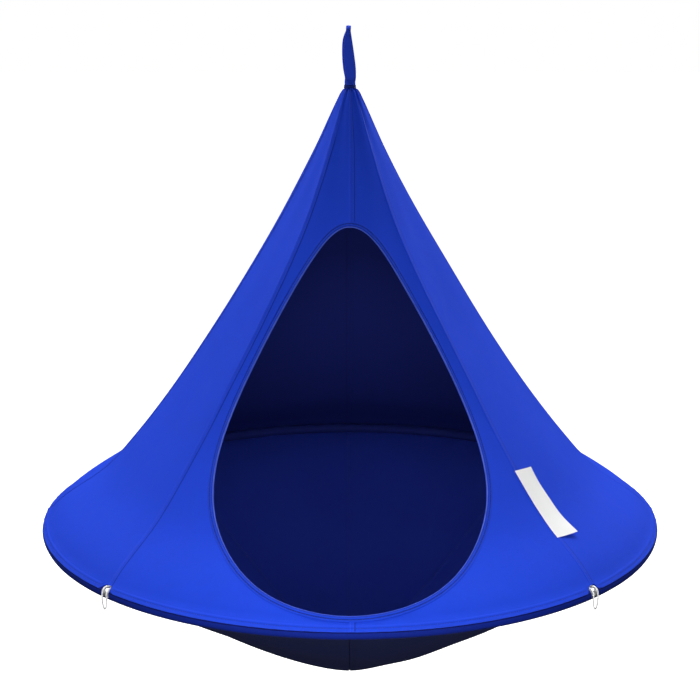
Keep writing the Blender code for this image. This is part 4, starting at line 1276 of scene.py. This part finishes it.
# ---------------- floor, light, world
def stage_floor():
    size, z = 30.0, CAD_BOX[0].z - 0.55
    verts = [(-size, -size, z), (size, -size, z), (size, size, z), (-size, size, z)]
    mat, tree, shader = blank("floor_paper", 0.95, Base_Color=(0.6, 0.6, 0.6, 1.0),
                              Emission_Color=(1.0, 1.0, 1.0, 1.0), Emission_Strength=1.1)
    under = add(tree, "ShaderNodeNewGeometry").outputs["Backfacing"]
    clear = add(tree, "ShaderNodeBsdfTransparent").outputs[0]
    both = add(tree, "ShaderNodeMixShader", {0: under, 1: shader.outputs[0], 2: clear}).outputs[0]
    tree.links.new(both, tree.nodes["Material Output"].inputs["Surface"])
    mesh = bpy.data.meshes.new("studio_floor")
    mesh.from_pydata(verts, [], [(0, 1, 2, 3)])
    mesh.materials.append(mat)
    ob = linked("studio_floor", mesh)
    ob.visible_diffuse = ob.visible_glossy = False


def area_light(name, place, aim, size, energy, size_y=None):
    data = bpy.data.lights.new(name, "AREA")
    data.shape = "RECTANGLE"
    data.size, data.size_y = size, size_y or size
    data.energy = energy
    ob = linked(name, data)
    ob.location = place
    ob.rotation_euler = (Vector(aim) - Vector(place)).to_track_quat("-Z", "Y").to_euler()
    return ob


def studio():
    stage_floor()
    middle = (0.0, 0.0, RIM_Z + 0.30)
    area_light("left_softbox", (-3.2, 0.8, 1.0), middle, 2.0, 42.0)
    area_light("left_rear_softbox", (-2.2, 1.8, 1.8), middle, 2.0, 51.0)
    area_light("right_softbox", (3.1, 1.5, 0.7), middle, 2.0, 45.0)
    area_light("right_rear_softbox", (2.2, 1.8, 1.8), middle, 2.0, 50.0)
    area_light("top_softbox", (0.0, 1.2, 2.6), middle, 2.4, 130.0, 2.0)
    area_light("low_front_softbox", (0.0, -1.9, -0.8), (0.0, 0.0, RIM_Z), 1.8, 21.0, 0.5)
    # stands for the light that comes through the taut cloth, so it swings with the pod
    fill = area_light("inside_fill", (0.0, -0.25, RIM_Z + 0.40), (0.0, 0.1, RIM_Z - 0.4), 0.30, 1.4,
                      0.20)
    fill.visible_camera = False
    fill.parent = patch
    world = bpy.data.worlds.new("studio_world")
    world.use_nodes = True
    tree = world.node_tree
    background = tree.nodes["Background"].inputs
    direction = add(tree, "ShaderNodeTexCoord").outputs["Generated"]
    up = add(tree, "ShaderNodeSeparateXYZ", {0: direction}).outputs[2]
    sky = add(tree, "ShaderNodeMapRange", {0: up, 1: -0.50, 2: -0.10, 3: 0.130, 4: 0.014}).outputs[0]
    seen = add(tree, "ShaderNodeLightPath").outputs["Is Camera Ray"]
    background["Color"].default_value = (1.0, 1.0, 1.0, 1.0)
    tree.links.new(numbers(tree, seen, sky, 1.0), background["Strength"])
    bpy.context.scene.world = world
    bpy.context.scene.view_settings.view_transform = "Standard"


studio()
